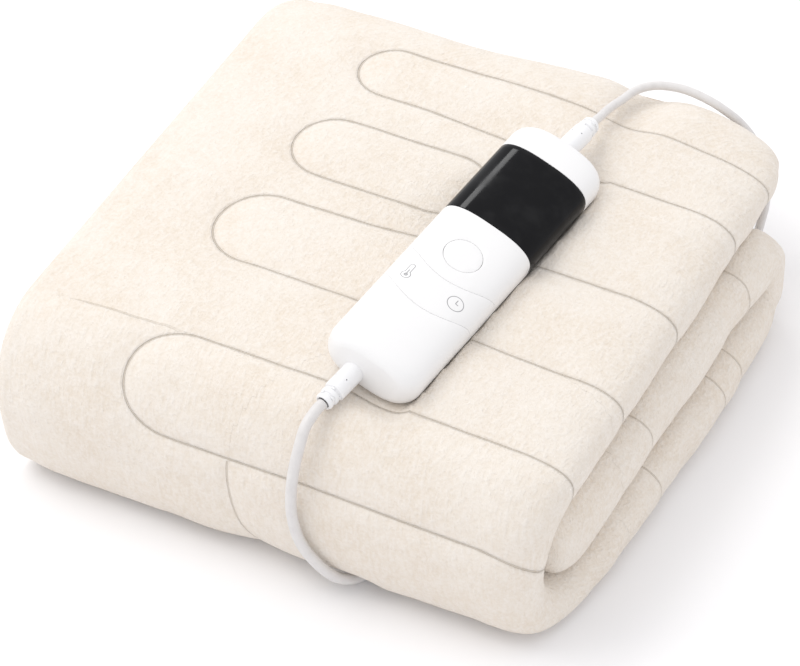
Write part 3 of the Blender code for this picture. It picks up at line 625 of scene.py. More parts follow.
# %% Lay the grid over the path and the section
sections = [across(*entry) for entry in COLUMNS]
x = np.stack([entry[0] for entry in sections], 1)
share = np.stack([entry[1] for entry in sections], 1)
bulge_out = np.stack([entry[2] for entry in sections], 1)
bulge_up = np.stack([entry[3] for entry in sections], 1)
kind = np.array([entry[0] for entry in COLUMNS])
side = np.array([entry[1] for entry in COLUMNS])

half = (outer - inner) / 2
normal = half / np.hypot(*half.T)[:, None]
core = (outer + inner) / 2
slant = slide[:, None] * ease(x, *SHEAR)
y = core[:, :1] + half[:, :1] * share * fat[:, None] + slant
z = core[:, 1:] + half[:, 1:] * share * fat[:, None]

on_front = run == "front"
front_start = front_travelled[np.argmax(on_front) - 1]
place = np.where(on_front[:, None], FOLD_START - (front_travelled - front_start)[:, None], y)
on_upper = np.isin(run, ("top", "front"))[:, None]
quilt = np.where(on_upper, loop_distance(x, place), FAR)
arc_start, arc_top, arc_radius = FRONT_SEAM
arc = np.hypot(x - arc_start - arc_radius, place - arc_top) - arc_radius
arc = np.where(on_upper & (place < arc_top), arc, np.where(arc < 0, -FAR, FAR))
bend, bend_from, bend_to = SIDE_SEAM_BEND
edge_seam = place - SIDE_SEAM[0] + bend * ease(x, bend_from, bend_to)
edge_seam = np.where((run == "top")[:, None], edge_seam, FAR)
stripes = np.where((run == "middle")[:, None], stripe_distance(y, MIDDLE_LINES), FAR)
stripes = np.where((run == "bottom")[:, None], stripe_distance(y, BOTTOM_LINES), stripes)
side_fade = ease(x, SIDE_SEAM[1] + 6, SIDE_SEAM[1] - 14)
print("grid:", x.shape)

# %% Swell the quilting and gather the lips
WAVES = ((0.8, 46, 40, 2.5), (0.22, 13, 13, 7.5))  # height; width; length; seed
HEM_FADE = 14
FOOT_FADE = (0.74, 0.9)  # shares of the way down the front where the swell fades out
upper_face = (kind == "lip") | ((kind == "face") & (side > 0))
distance = np.minimum(np.minimum(np.abs(quilt), np.abs(arc)), np.abs(stripes))
near_seam = np.abs(edge_seam) + 30 * (1 - side_fade)
distance = np.minimum(distance, near_seam)
lift = swell(distance) * (1 - 0.85 * bulge_out)
for height, width, length, seed in WAVES:
    lift = lift + height * crumple(x / width, place / length, seed)

along = np.repeat(travelled[:, None], x.shape[1], 1)
folds = crumple(along / 13 + 0.5 * bulge_up, share * 0.9, 4.5)
folds = np.where(folds < 0, folds * 1.5, folds * 0.7)
loose = np.select([run == "top", run == "front"], [0.35, 0.5], 1.15)
loose = soften(loose, 12)[:, None]
upward = np.where((run == "bottom")[:, None], -bulge_up, bulge_up)
tucked = 0.45 + 0.75 * ease(upward, -0.3, 0.6) * np.isin(run, ("bottom", "turn", "middle"))[:, None]
lift = lift + folds * loose * tucked * np.maximum(bulge_out, 0) ** 0.6
hidden = np.isin(run, ("bottom", "turn", "middle"))[:, None] & (bulge_out <= 0)
lift = np.where(hidden, lift * 0.3, lift)
lift = np.where(upper_face[None, :], lift, 0)
lift = lift * ease(x - left[:, None] - HEM_ROUND, 0, HEM_FADE)
lift = lift * (1 - ease(-bulge_up, 0.45, 0.95))
foot_share = np.where(on_front, gather("place"), 0)[:, None]
lift = lift * (1 - 0.9 * ease(foot_share, *FOOT_FADE))
rise = np.where((run == "bottom")[:, None], 0, bulge_up)
x = x + lift * np.maximum(bulge_out, 0)
y = y + lift * rise * normal[:, :1]
z = z + lift * rise * normal[:, 1:]
print("largest swell, mm:", round(float(lift.max()), 2))

# %% Make the grid a mesh and sew its seam
points = settle(np.stack([x, y, z], -1))
points = bed((points + (*CLOTH_SHIFT, 0)) * MM)
girth = np.cumsum(np.hypot(np.diff(x), np.diff(share) * LAYER / 2), 1)
girth = np.concatenate([np.zeros((len(stations), 1)), girth], 1)
marks = dict(quilt=quilt, arc=arc, seam=edge_seam, seam_fade=side_fade, stripes=stripes)
marks = {name: np.clip(values, -40, 40) for name, values in marks.items()}

bm = bmesh.new()
rows, columns = x.shape
bmesh.ops.create_grid(bm, x_segments=rows - 1, y_segments=columns - 1, size=0.5)
layers = {name: bm.verts.layers.float.new(name) for name in marks}
uv_layer = bm.loops.layers.uv.new("cloth")
where = {}
for vert in bm.verts:
    spot = round((vert.co.x + 0.5) * (rows - 1)), round((vert.co.y + 0.5) * (columns - 1))
    where[vert] = spot
    vert.co = points[spot]
    for name, layer in layers.items():
        vert[layer] = marks[name][spot]
for face in bm.faces:
    for loop in face.loops:
        spot = where[loop.vert]
        loop[uv_layer].uv = (girth[spot] * MM, travelled[spot[0]] * MM)
bmesh.ops.remove_doubles(bm, verts=bm.verts, dist=0.001 * MM)
open_ends = [edge for edge in bm.edges if edge.is_boundary]
bmesh.ops.triangle_fill(bm, edges=open_ends, use_beauty=True)
print("edges still open:", len([edge for edge in bm.edges if not edge.is_manifold]))
cloth_mesh = as_mesh(bm, "plush_blanket")
cloth_mesh.shade_smooth()
cloth = link_in(bpy.data.objects.new("plush_blanket", cloth_mesh))
cloth_mesh.calc_loop_triangles()
print("triangles of the cloth:", len(cloth_mesh.loop_triangles))

# %% [markdown]
# ## The controller
# The hand controller is a moulded case: a flat bar with soft sides and round ends. A black window
# is let into its far half, and a round button and a curved key bar into its near half. The case
# starts as a ring of points with the fullness of a cushion, which is copied along its length and
# bridged into a skin. The other parts are cut out of the same skin, so that their faces run on
# without a step.

# %% The skin of the case
SHELL_END = 8.2 * MM
SHELL_FLATTEN = 0.38  # share of its height that the case loses at its very ends
RING_STEPS = 96
END_ANGLES = (86, 80, 73, 65, 56, 46, 35, 23, 11)


def bridge_rings(bm, rings):
    """Joins rings of edges, one after the other, into one skin and closes both ends."""
    for first, second in zip(rings, rings[1:]):
        bmesh.ops.bridge_loops(bm, edges=first + second)
    for ring in (rings[0], rings[-1]):
        bmesh.ops.contextual_create(bm, geom=ring)


def cushion_ring(bm, half_width, half_height, fullness, steps, along, place):
    """A ring of the given fullness, square to the X or Y axis, at a place along it."""
    made = bmesh.ops.create_circle(bm, segments=steps, radius=1)
    for vert in made["verts"]:
        across = half_width * power(vert.co.x, 2 / fullness)
        rise = half_height * power(vert.co.y, 2 / fullness)
        vert.co = (across, place, rise) if along == "Y" else (place, across, rise)
    return list({edge for vert in made["verts"] for edge in vert.link_edges})


def shell_skin(name, shrink=0.0):
    """The case's skin; shrink draws every side in."""
    width, length, height = (side - 2 * shrink for side in SHELL_SIZE)
    table = []
    for angle in END_ANGLES:
        turn = math.radians(angle)
        draw = 1 - math.cos(turn)
        place = length / 2 - SHELL_END * (1 - math.sin(turn))
        table.append((place, SHELL_END * draw, 1 - SHELL_FLATTEN * draw**1.5))
    straight = length / 2 - SHELL_END
    middle = [(place, 0, 1) for place in np.linspace(straight, -straight, 24)]
    table = table + middle + [(-place, inset, scale) for place, inset, scale in reversed(table)]
    bm = bmesh.new()
    rings = [
        cushion_ring(bm, width / 2 - inset, height / 2 * scale, SHELL_FULL, RING_STEPS, "Y", place)
        for place, inset, scale in table
    ]
    bridge_rings(bm, rings)
    return as_mesh(bm, name)


print("faces of the skin:", len(shell_skin("trial").polygons))

# %% [markdown]
# Cutting is done with the exact Boolean, which keeps both faces clean where a cutter meets a
# curved skin. A cutter is never part of the finished scene, so each one is thrown away once the
# cut is made. The rim that a cut leaves is rounded a little, because no moulded edge is sharp
# and a rounded one catches the light.

# %% Helpers for cutting


def block(name, low, high):
    bm = bmesh.new()
    bmesh.ops.create_cube(bm, size=1)
    bmesh.ops.scale(bm, vec=Vector(high) - Vector(low), verts=bm.verts)
    bmesh.ops.translate(bm, vec=(Vector(high) + Vector(low)) / 2, verts=bm.verts)
    return as_mesh(bm, name)


def drum(name, radius, low, high, centre=(0, 0)):
    bm = bmesh.new()
    bmesh.ops.create_cone(bm, cap_ends=True, segments=96, radius1=radius, radius2=radius, depth=high - low)
    bmesh.ops.translate(bm, vec=(*centre, (high + low) / 2), verts=bm.verts)
    return as_mesh(bm, name)


def cut(mesh, *steps):
    """Applies Booleans one after the other. Each step is an operation and a cutter's mesh."""
    target = link_in(bpy.data.objects.new(mesh.name, mesh))
    cutters = []
    for operation, cutter_mesh in steps:
        cutter = link_in(bpy.data.objects.new("cutter", cutter_mesh))
        cutters.append(cutter)
        modifier = target.modifiers.new("cut", "BOOLEAN")
        modifier.operation = operation
        modifier.solver = "EXACT"
        modifier.object = cutter
    bpy.context.view_layer.update()
    evaluated = target.evaluated_get(bpy.context.evaluated_depsgraph_get())
    done = bpy.data.meshes.new_from_object(evaluated)
    for leftover in [target, *cutters]:
        bpy.data.objects.remove(leftover)
    done.name = mesh.name
    return done


def round_rims(mesh, width, degrees=40, segments=2):
    """Rounds every edge of a mesh that turns by more than an angle."""
    bm = bmesh.new()
    bm.from_mesh(mesh)
    bmesh.ops.remove_doubles(bm, verts=bm.verts, dist=0.005 * MM)
    bmesh.ops.dissolve_degenerate(bm, edges=bm.edges, dist=0.005 * MM)
    limit = math.radians(degrees)
    sharp = [edge for edge in bm.edges if edge.is_manifold and edge.calc_face_angle(0) > limit]
    bmesh.ops.bevel(
        bm, geom=sharp, offset=width, offset_type="OFFSET", affect="EDGES", segments=segments,
        profile=0.5, material=-1, clamp_overlap=True,
    )
    bm.to_mesh(mesh)
    bm.free()
    return mesh


def piece(name, mesh, crease=35):
    """A finished piece: its object stays at the origin, and its place is in its mesh."""
    mesh.materials.clear()
    mesh.shade_smooth()
    mesh.set_sharp_from_angle(angle=math.radians(crease))
    mesh.name = name
    made = link_in(bpy.data.objects.new(name, mesh))
    print(name, "triangles:", sum(len(face.vertices) - 2 for face in mesh.polygons))
    return made


# %% Case, window, button and key bar from one skin
DISPLAY = (14.7 * MM, 59.9 * MM)
DISPLAY_DEPTH = 1.5 * MM
DISPLAY_FOOT = -8.5 * MM
BUTTON_PLACE = (-0.4 * MM, -7.7 * MM)
BUTTON_RADIUS = 8.3 * MM
KEY_ENDS = (-13.6 * MM, -32.7 * MM)
KEY_SAG = 10 * MM
KEY_SPAN = 21.9 * MM
KEY_HALF = 25 * MM
KEY_DEPTH = 11.2 * MM
KEY_ROOM = 0.7 * MM  # under the bar, for its rocking
BUTTON_DEPTH = 4 * MM
BUTTON_ROOM = 1 * MM
SEAM = 0.22 * MM
top = SHELL_SIZE.z / 2
beyond = 5 * MM
wide = SHELL_SIZE.x / 2 + beyond
button_foot = top - BUTTON_DEPTH
well_floor = button_foot - BUTTON_ROOM


def key_prism(name, grow, low, high):
    """The key bar's outline, two bowed edges, drawn up into a prism."""
    bm = bmesh.new()
    bmesh.ops.create_grid(bm, x_segments=28, y_segments=1, size=1)
    far, near = KEY_ENDS
    for vert in bm.verts:
        side_x, side_y, _ = vert.co
        edge = far + grow if side_y > 0 else near - grow
        place_x = (KEY_HALF + grow) * side_x
        vert.co = (place_x, edge - KEY_SAG * (1 - (place_x / KEY_SPAN) ** 2), low)
    made = bmesh.ops.extrude_face_region(bm, geom=bm.faces[:])
    raised = [item for item in made["geom"] if isinstance(item, bmesh.types.BMVert)]
    bmesh.ops.translate(bm, vec=(0, 0, high - low), verts=raised)
    return as_mesh(bm, name)


low, high = (-wide, DISPLAY[0], DISPLAY_FOOT), (wide, DISPLAY[1], top + beyond)
recess = cut(
    block("recess", Vector(low) - Vector((0, SEAM, SEAM)), Vector(high) + Vector((0, SEAM, 0))),
    ("DIFFERENCE", shell_skin("recess_core", DISPLAY_DEPTH + 0.2 * MM)),
)
case_mesh = cut(
    shell_skin("case"),
    ("DIFFERENCE", recess),
    ("DIFFERENCE", drum("well", BUTTON_RADIUS + SEAM, well_floor, top + beyond, BUTTON_PLACE)),
    ("DIFFERENCE", key_prism("pocket", SEAM, top - KEY_DEPTH - KEY_ROOM, top + beyond)),
)
window_mesh = cut(
    block("window", low, high),
    ("INTERSECT", shell_skin("window_skin")),
    ("DIFFERENCE", shell_skin("window_core", DISPLAY_DEPTH)),
)
button_mesh = cut(
    drum("button", BUTTON_RADIUS, button_foot, top + beyond, BUTTON_PLACE),
    ("INTERSECT", shell_skin("button_skin")),
)
key_mesh = cut(key_prism("key", 0, top - KEY_DEPTH, top + beyond), ("INTERSECT", shell_skin("key_skin")))
for mesh, width in ((case_mesh, 0.22), (window_mesh, 0.2), (button_mesh, 0.15), (key_mesh, 0.15)):
    round_rims(mesh, width * MM)
    mesh.transform(shell_pose)
case = piece("controller_case", case_mesh)
window = piece("black_window", window_mesh)
button = piece("round_button", button_mesh)
key_bar = piece("curved_key_bar", key_mesh)

# %% [markdown]
# ## Strain reliefs
# Where a lead leaves the case, a soft sleeve keeps it from being bent sharply. Such a sleeve is
# round, so its profile is drawn once and spun. Near its tip it has a waist with small bridges
# between two collars, which lets it bend more easily there than at its root.

# %% Sleeves for the leads
RELIEFS = (
    ("relief_front", "front_sleeve", (-5.1, -78.2, -4.2), (-0.198, -0.972, -0.126)),
    ("relief_back", "back_sleeve", (-0.1, 81, 3.5), (0.108, 0.992, -0.063)),
)
SLEEVE = (  # radius and distance from the root, mm, from the tip down the outer side
    (2.6, 18.6), (3.05, 19.0), (3.5, 18.85), (3.8, 18.4), (3.92, 17.6), (3.85, 17.1), (3.3, 16.9),
    (3.25, 15.8), (3.95, 15.5), (4.15, 15.1), (4.15, 14.1), (4.0, 13.6), (3.4, 13.4), (3.4, 12.5),
    (4.3, 12.2), (4.6, 11.7), (4.65, 11.0), (4.65, -7), (2.6, -7),
)
SLEEVE_STEPS = 48
WAISTS = ((12.5, 13.4, 0), (15.8, 16.9, 6))  # from, to, and by how many steps its bridges are turned
BRIDGE_RAISE = 0.65 * MM
DOT_HEIGHT = 6.5
DOT_ANGLES = {"relief_front": (55, 125), "relief_back": (60, 120)}


def sleeve_mesh(name):
    bm = bmesh.new()
    profile = [bm.verts.new((radius * MM, 0, height * MM)) for radius, height in SLEEVE]
    edges = [bm.edges.new(pair) for pair in zip(profile, profile[1:] + profile[:1])]
    bmesh.ops.spin(
        bm, geom=profile + edges, cent=(0, 0, 0), axis=(0, 0, 1), angle=math.tau,
        steps=SLEEVE_STEPS, use_merge=True,
    )
    bmesh.ops.remove_doubles(bm, verts=bm.verts, dist=0.005 * MM)
    bmesh.ops.recalc_face_normals(bm, faces=bm.faces)
    waist = []
    for face in bm.faces:
        middle = face.calc_center_median() / MM
        turn = math.atan2(middle.y, middle.x) / math.tau + 0.5
        number = math.floor(turn * SLEEVE_STEPS + 0.01)
        for low, high, offset in WAISTS:
            if low < middle.z < high and middle.xy.length > 3 and (number + offset) % 12 >= 9:
                waist.append(face)
    made = bmesh.ops.extrude_face_region(bm, geom=waist)
    moved = [item for item in made["geom"] if isinstance(item, bmesh.types.BMVert)]
    for vert in moved:
        outward = Vector((vert.co.x, vert.co.y, 0)).normalized()
        vert.co += outward * BRIDGE_RAISE
    bmesh.ops.delete(bm, geom=waist, context="FACES_ONLY")
    return as_mesh(bm, name)


sleeves = {}
for node, name, root, aim in RELIEFS:
    mesh = sleeve_mesh(name)
    facing = Vector(aim).to_track_quat("Z", "Y").to_matrix().to_4x4()
    spot = shell_pose @ (Vector(root) * MM)
    for angle in DOT_ANGLES[node]:
        dot = drum("dot", 0.35 * MM, -1 * MM, 1 * MM)
        dot.transform(Matrix.Rotation(math.pi / 2, 4, "Y"))
        dot.transform(Matrix.Translation(Vector((4.65, 0, DOT_HEIGHT)) * MM))
        dot.transform(Matrix.Rotation(math.radians(angle), 4, "Z"))
        mesh = cut(mesh, ("DIFFERENCE", dot))
    mesh.transform(Matrix.Translation(spot) @ facing)
    sleeves[node] = piece(name, mesh, crease=30)

# %% [markdown]
# ## Plug, pins and tie
# The plug is a flat two-pin one, moulded onto its lead: a ribbed tail swells into a body that
# is pinched in the fingers. Its skin is bridged over rings, like the case. The pins are
# flat blades with a softened tip, and the tie is a thin band round the coil.

# %% The plug and its pins
PLUG_TAIL = Vector((-9.0, 132.0, 7.2)) * MM
PLUG_SECTIONS = (  # distance from its tail, half width, half height, fullness
    (0, 2.5, 2.5, 2.0), (0.3, 2.9, 2.9, 2.0), (1.6, 3.0, 3.0, 2.0), (1.8, 2.5, 2.5, 2.0),
    (2.8, 2.5, 2.5, 2.0), (3.0, 3.15, 3.15, 2.0), (4.4, 3.25, 3.25, 2.0), (4.6, 2.7, 2.7, 2.0),
    (5.6, 2.75, 2.75, 2.0), (5.8, 3.35, 3.35, 2.0), (7, 3.4, 3.4, 2.0), (8, 3.8, 3.7, 2.05),
    (9, 4.4, 4.2, 2.1), (11, 6.2, 5.1, 2.3), (13, 8.0, 5.8, 2.5), (16, 10.1, 6.45, 2.8),
    (19, 11.4, 6.8, 3.0), (23, 12.1, 6.95, 3.2), (27, 12.4, 7.0, 3.4), (30, 12.4, 6.97, 3.4),
    (33, 12.3, 6.9, 3.4), (34.4, 12.15, 6.75, 3.3), (35.4, 11.8, 6.4, 3.2), (35.8, 11.4, 6.0, 3.1),
    (36, 10.8, 5.6, 3.0),
)
PIN_SIZE = Vector((18, 1.5, 6.3)) * MM
PIN_SPACING = 12.7 * MM
PIN_TIP = 0.55 * MM
PIN_HOLE = (1.5 * MM, 4.2 * MM)  # radius; distance from the tip

bm = bmesh.new()
rings = [
    cushion_ring(bm, half_width * MM, half_height * MM, fullness, 64, "X", -place * MM)
    for place, half_width, half_height, fullness in PLUG_SECTIONS
]
bridge_rings(bm, rings)
bmesh.ops.translate(bm, vec=PLUG_TAIL, verts=bm.verts)
plug_mesh = as_mesh(bm, "plug_body")
face_x = PLUG_TAIL.x - PLUG_SECTIONS[-1][0] * MM
pins = []
for name, sign in (("blade_left", -1), ("blade_right", 1)):
    centre = Vector((0, PLUG_TAIL.y + sign * PIN_SPACING / 2, PLUG_TAIL.z))
    low = centre + Vector((face_x - PIN_SIZE.x, -PIN_SIZE.y / 2, -PIN_SIZE.z / 2))
    high = centre + Vector((face_x + 5 * MM, PIN_SIZE.y / 2, PIN_SIZE.z / 2))
    slot = block("slot", low + Vector((10, -0.15, -0.15)) * MM, high + Vector((0.2, 0.15, 0.15)) * MM)
    plug_mesh = cut(plug_mesh, ("DIFFERENCE", slot))
    bm = bmesh.new()
    bm.from_mesh(block(name, low, high))
    tip = [edge for edge in bm.edges if all(vert.co.x < low.x + 0.1 * MM for vert in edge.verts)]
    bmesh.ops.bevel(
        bm, geom=tip, offset=PIN_TIP, affect="EDGES", segments=3, profile=0.5, material=-1,
        clamp_overlap=True,
    )
    radius, inward = PIN_HOLE
    hole = drum("hole", radius, -2 * MM, 2 * MM)
    hole.transform(Matrix.Rotation(math.pi / 2, 4, "X"))
    hole.transform(Matrix.Translation(Vector((low.x + inward, centre.y, centre.z))))
    pin_mesh = cut(as_mesh(bm, name), ("DIFFERENCE", hole))
    pins.append(piece(name, round_rims(pin_mesh, 0.12 * MM, 60, 1)))
plug = piece("plug_body", plug_mesh, crease=30)

# %% The tie round the coil
COIL_HALF = (6.0, 7.7)
TIE_CLEAR = 0.15
TIE_THICK = 0.7
TIE_WIDTH = 4.4
coil_middle = Vector((COIL_CENTRE.x, COIL_CENTRE.y - 22, sum(COIL_LAYERS) / 4)) * MM
bm = bmesh.new()
rings = []
outside = TIE_CLEAR + TIE_THICK
for grow, half_side in ((TIE_CLEAR, 1), (outside, 0.86), (outside, -0.86), (TIE_CLEAR, -1)):
    half_width, half_height = ((half + grow) * MM for half in COIL_HALF)
    place_x = half_side * TIE_WIDTH / 2 * MM
    rings.append(cushion_ring(bm, half_width, half_height, 3.2, 72, "X", place_x))
for first, second in zip(rings, rings[1:] + rings[:1]):
    bmesh.ops.bridge_loops(bm, edges=first + second)
bmesh.ops.translate(bm, vec=coil_middle, verts=bm.verts)
tie = piece("coil_tie", as_mesh(bm, "coil_tie"), crease=40)

# %% [markdown]
# ## Finishes
# A finish is a small calculation that Blender repeats for every point of a surface. Written as
# plain sums it stays readable, so one small class wraps a node's output and turns each sum on it
# into a Math node. Colours can't go through a Math node, which would turn them grey, so they are
# mixed with a Mix node instead.

# %% A small language for finishes


class Link:
    """One output of a node. Sums on it add the Math nodes that they stand for."""

    def __init__(self, tree, socket):
        self.tree = tree
        self.socket = socket

    def node(self, kind, settings=None, sockets=None, result=0):
        """Adds any other node: its settings first, then the values or links of its sockets."""
        made = self.tree.nodes.new(kind)
        for name, value in (settings or {}).items():
            setattr(made, name, value)
        for name, value in (sockets or {}).items():
            named = [socket for socket in made.inputs if socket.identifier == name]
            target = named[0] if named else made.inputs[name]
            if isinstance(value, Link):
                self.tree.links.new(value.socket, target)
            else:
                target.default_value = value
        return Link(self.tree, made.outputs[result])

    def maths(self, operation, *values):
        return self.node("ShaderNodeMath", {"operation": operation}, dict(enumerate(values)))

    def __add__(self, other):
        return self.maths("ADD", self, other)

    def __sub__(self, other):
        return self.maths("SUBTRACT", self, other)

    def __mul__(self, other):
        return self.maths("MULTIPLY", self, other)

    def __pow__(self, other):
        return self.maths("POWER", self, other)

    def __rsub__(self, other):
        return self.maths("SUBTRACT", other, self)

    def __abs__(self):
        return self.maths("ABSOLUTE", self)

    __radd__ = __add__
    __rmul__ = __mul__


def step(value, low, high):
    """0 at low, 1 at high, and a soft step between. High may be below low."""
    sockets = {"Value": value, "From Min": low, "From Max": high}
    return value.node("ShaderNodeMapRange", {"interpolation_type": "SMOOTHSTEP"}, sockets)


def line(distance, half_width, blur):
    """1 on a drawn line and 0 away from it."""
    return step(abs(distance), half_width + blur, half_width)


def larger(first, second):
    return first.maths("MAXIMUM", first, second)


def smaller(first, second):
    return first.maths("MINIMUM", first, second)


def grain(place, scale, detail=2.0, rough=0.5):
    """Noise about 0 to 1, with features of about 1 / scale metres."""
    sockets = {"Vector": place, "Scale": scale, "Detail": detail, "Roughness": rough}
    return place.node("ShaderNodeTexNoise", {}, sockets)


def blend_colour(share, first, second):
    sockets = {"Factor_Float": share, "A_Color": first, "B_Color": second}
    return share.node("ShaderNodeMix", {"data_type": "RGBA"}, sockets, 2)


class Finish:
    """A material with its one shader: constants are set on it, and varying values linked to it."""

    def __init__(self, name, **constants):
        self.material = bpy.data.materials.new(name)
        self.material.use_nodes = True
        self.tree = self.material.node_tree
        self.shader = self.tree.nodes["Principled BSDF"]
        for socket, value in constants.items():
            self.shader.inputs[socket.replace("_", " ")].default_value = value
        self.start = Link(self.tree, None)

    def place(self):
        """Where a point is, in metres, in the frame that every piece shares."""
        return self.start.node("ShaderNodeTexCoord", result=3)

    def mark(self, name):
        """A number that the mesh carries at each of its points."""
        return self.start.node("ShaderNodeAttribute", {"attribute_name": name}, result=2)

    def feed(self, socket, value):
        self.tree.links.new(value.socket, self.shader.inputs[socket])

    def bump(self, height, strength=1.0):
        """Feeds a height in millimetres to the shader's normal."""
        sockets = {"Height": height, "Distance": MM, "Strength": strength}
        self.feed("Normal", height.node("ShaderNodeBump", {}, sockets))


print("finishes can be written")

# %% [markdown]
# The plush is a short, dense pile. Close up it is a fine grain, a little longer along the cloth
# because the pile leans that way. Further off it shows soft patches, where a hand has brushed the
# pile one way or the other. Each row of stitching is painted as a line a little darker than the
# cloth: partly the thread, and partly painted shade of a furrow too narrow for the mesh to show.
# The sheen is the light that the tips of the pile catch at a glancing angle.

# %% Cream plush
# Stitch lines: the thread's colour plus painted shade of the narrow furrow it lies in
THREAD_AND_SHADE_LINES = (("quilt", 0.18, 0.35, 1), ("arc", 0.2, 0.4, 0.8), ("stripes", 0.2, 0.4, 0.8))
PILE_DARK = (0.735, 0.65, 0.55, 1)
PILE_LIGHT = (0.825, 0.768, 0.705, 1)
PILE_PATCH = (0.845, 0.805, 0.755, 1)
# Darker colour of the stitch lines, partly thread and partly painted furrow shade
THREAD_AND_FURROW_SHADE = (0.5, 0.43, 0.34, 1)
plush = Finish(
    "cream_plush", Roughness=0.95, Sheen_Weight=0.25, Sheen_Roughness=0.45, Specular_IOR_Level=0.12
)
plush.shader.inputs["Sheen Tint"].default_value = (1, 0.98, 0.95, 1)
place_on = plush.place()
flat_place = plush.start.node("ShaderNodeUVMap", {"uv_map": "cloth"})
lean = flat_place.node("ShaderNodeVectorMath", {"operation": "MULTIPLY"}, {0: flat_place, 1: (1, 0.42, 1)})
pile = grain(place_on, 760, 3, 0.6)
strand = grain(lean, 620, 2, 0.55)
tuft = grain(place_on, 210, 2, 0.5)
brushed = grain(place_on, 34, 3, 0.55)
# The stitch lines are painted darker: the thread, and painted shade of its narrow furrow
thread_and_furrow_shade = line(plush.mark("seam"), 0.2, 0.5) * plush.mark("seam_fade") * 0.6
for name, half_width, blur, strength in THREAD_AND_SHADE_LINES:
    thread_and_furrow_shade = larger(thread_and_furrow_shade, line(plush.mark(name), half_width, blur) * strength)
furrow = step(abs(plush.mark("quilt")), 1.6, 0)
shade = step(pile * 0.45 + strand * 0.35 + tuft * 0.2, 0.3, 0.7)
colour = blend_colour(shade, PILE_DARK, PILE_LIGHT)
colour = blend_colour(step(brushed, 0.32, 0.68) * 0.35, colour, PILE_PATCH)
# Thread colour and painted furrow shade along the stitch lines
plush.feed("Base Color", blend_colour(thread_and_furrow_shade * 0.62, colour, THREAD_AND_FURROW_SHADE))
relief = pile * 0.45 + strand * 0.4 + tuft * 0.5 + brushed * 0.5
plush.bump(relief - furrow * 0.5 - thread_and_furrow_shade * 0.4)
print("finish:", plush.material.name)

# %% [markdown]
# The case is a white moulded plastic with a satin face. Nothing is printed on it but the two plain
# signs of its key bar, a thermometer for the heat and a clock for the timer. They are drawn in the
# finish as distances to simple outlines, in the case's own directions, so that they stay
# sharp at any size. The Mapping node turns the shared frame into the case's own.

# %% White plastic, with the signs of the key bar


def own_place(finish):
    """Across, along and height in the case's own frame, in millimetres."""
    place = finish.place()
    turned = place.node(
        "ShaderNodeMapping",
        {"vector_type": "TEXTURE"},
        {"Vector": place, "Location": shell_pose.translation, "Rotation": shell_pose.to_euler("XYZ")},
    )
    split = [place.node("ShaderNodeSeparateXYZ", {}, {"Vector": turned}, axis) for axis in range(3)]
    return [value * 1000 for value in split]


def pill(across, along, x, y, half_length, radius):
    """Signed distance to a pill that stands along the case."""
    aside = across - x
    beyond_end = larger(abs(along - y) - half_length, aside * 0)
    return (aside * aside + beyond_end * beyond_end) ** 0.5 - radius


def plastic(name, colour, roughness):
    made = Finish(name, Roughness=roughness, Specular_IOR_Level=0.5)
    spot = made.place()
    wear = step(grain(spot, 55, 3, 0.6), 0.35, 0.75)
    fine = grain(spot, 2600, 2, 0.5)
    made.feed("Roughness", wear * 0.09 + (roughness - 0.03))
    made.bump(fine * 0.012 + grain(spot, 160, 1, 0.5) * 0.02, 0.5)
    worn = (*(part * 0.975 for part in colour[:3]), 1)
    made.tone = blend_colour(wear * 0.5 + fine * 0.2, colour, worn)
    made.feed("Base Color", made.tone)
    return made


CASE_WHITE = (0.85, 0.845, 0.845, 1)
SIGN_GREY = (0.22, 0.22, 0.23, 1)
# Columns: place across and along the case, half length, radius; half width and blur of the line
TUBE = (-13.3, -28.6, 2.3, 1.05)
BULB = (-13.2, -31.9, 0, 1.95)
SIGNS = (
    ((-13.25, -30.4, 1.5, 0.1), 0.08, 0.12),
    ((-13.2, -31.9, 0, 0.6), 0.2, 0.15),
    ((10.4, -30.4, 0, 3.55), 0.1, 0.16),
    ((10.4, -29.4, 1.0, 0.05), 0.08, 0.12),
)
SHORT_HAND = (-30.4, 11.0, 0.6, 0.05)  # along first, because it points across

white = plastic("case_white", CASE_WHITE, 0.34)
keys = plastic("key_white", CASE_WHITE, 0.34)
across_case, along_case, _ = own_place(keys)
thermometer = smaller(*(pill(across_case, along_case, *shape) for shape in (TUBE, BULB)))
sign = line(thermometer, 0.1, 0.16)
sign = larger(sign, line(pill(along_case, across_case, *SHORT_HAND), 0.08, 0.12))
for shape, half_width, blur in SIGNS:
    sign = larger(sign, line(pill(across_case, along_case, *shape), half_width, blur))
keys.feed("Base Color", blend_colour(sign * 0.85, keys.tone, SIGN_GREY))
print("finishes:", white.material.name, keys.material.name)

# %% [markdown]
# The window is a smoked plastic that is black until its lamps are lit. It is far glossier than
# the case, so what is seen is mostly the room mirrored in it, a little uneven from handling.

# %% Black window, soft grey leads, bright blades
glass = Finish("window_black", Roughness=0.1, Specular_IOR_Level=0.1)
spot = glass.place()
smear = step(grain(spot, 70, 3, 0.6), 0.4, 0.75)
glass.feed("Roughness", smear * 0.1 + 0.1)
glass.feed("Base Color", blend_colour(smear, (0.006, 0.006, 0.007, 1), (0.012, 0.012, 0.013, 1)))
glass.bump(grain(spot, 45, 1, 0.5) * 0.03, 0.4)

lead_grey = Finish("lead_grey", Roughness=0.4, Specular_IOR_Level=0.4)
spot = lead_grey.place()
scuff = grain(spot, 300, 3, 0.6)
lead_grey.feed("Roughness", scuff * 0.2 + 0.32)
tone = blend_colour(step(scuff, 0.4, 0.75), (0.72, 0.7, 0.69, 1), (0.68, 0.66, 0.65, 1))
lead_grey.feed("Base Color", tone)
lead_grey.bump(scuff * 0.03 + grain(spot, 1400, 1, 0.5) * 0.015, 0.6)

sleeve_white = plastic("sleeve_white", (0.86, 0.86, 0.87, 1), 0.42)
plug_white = plastic("plug_white", (0.87, 0.87, 0.88, 1), 0.38)

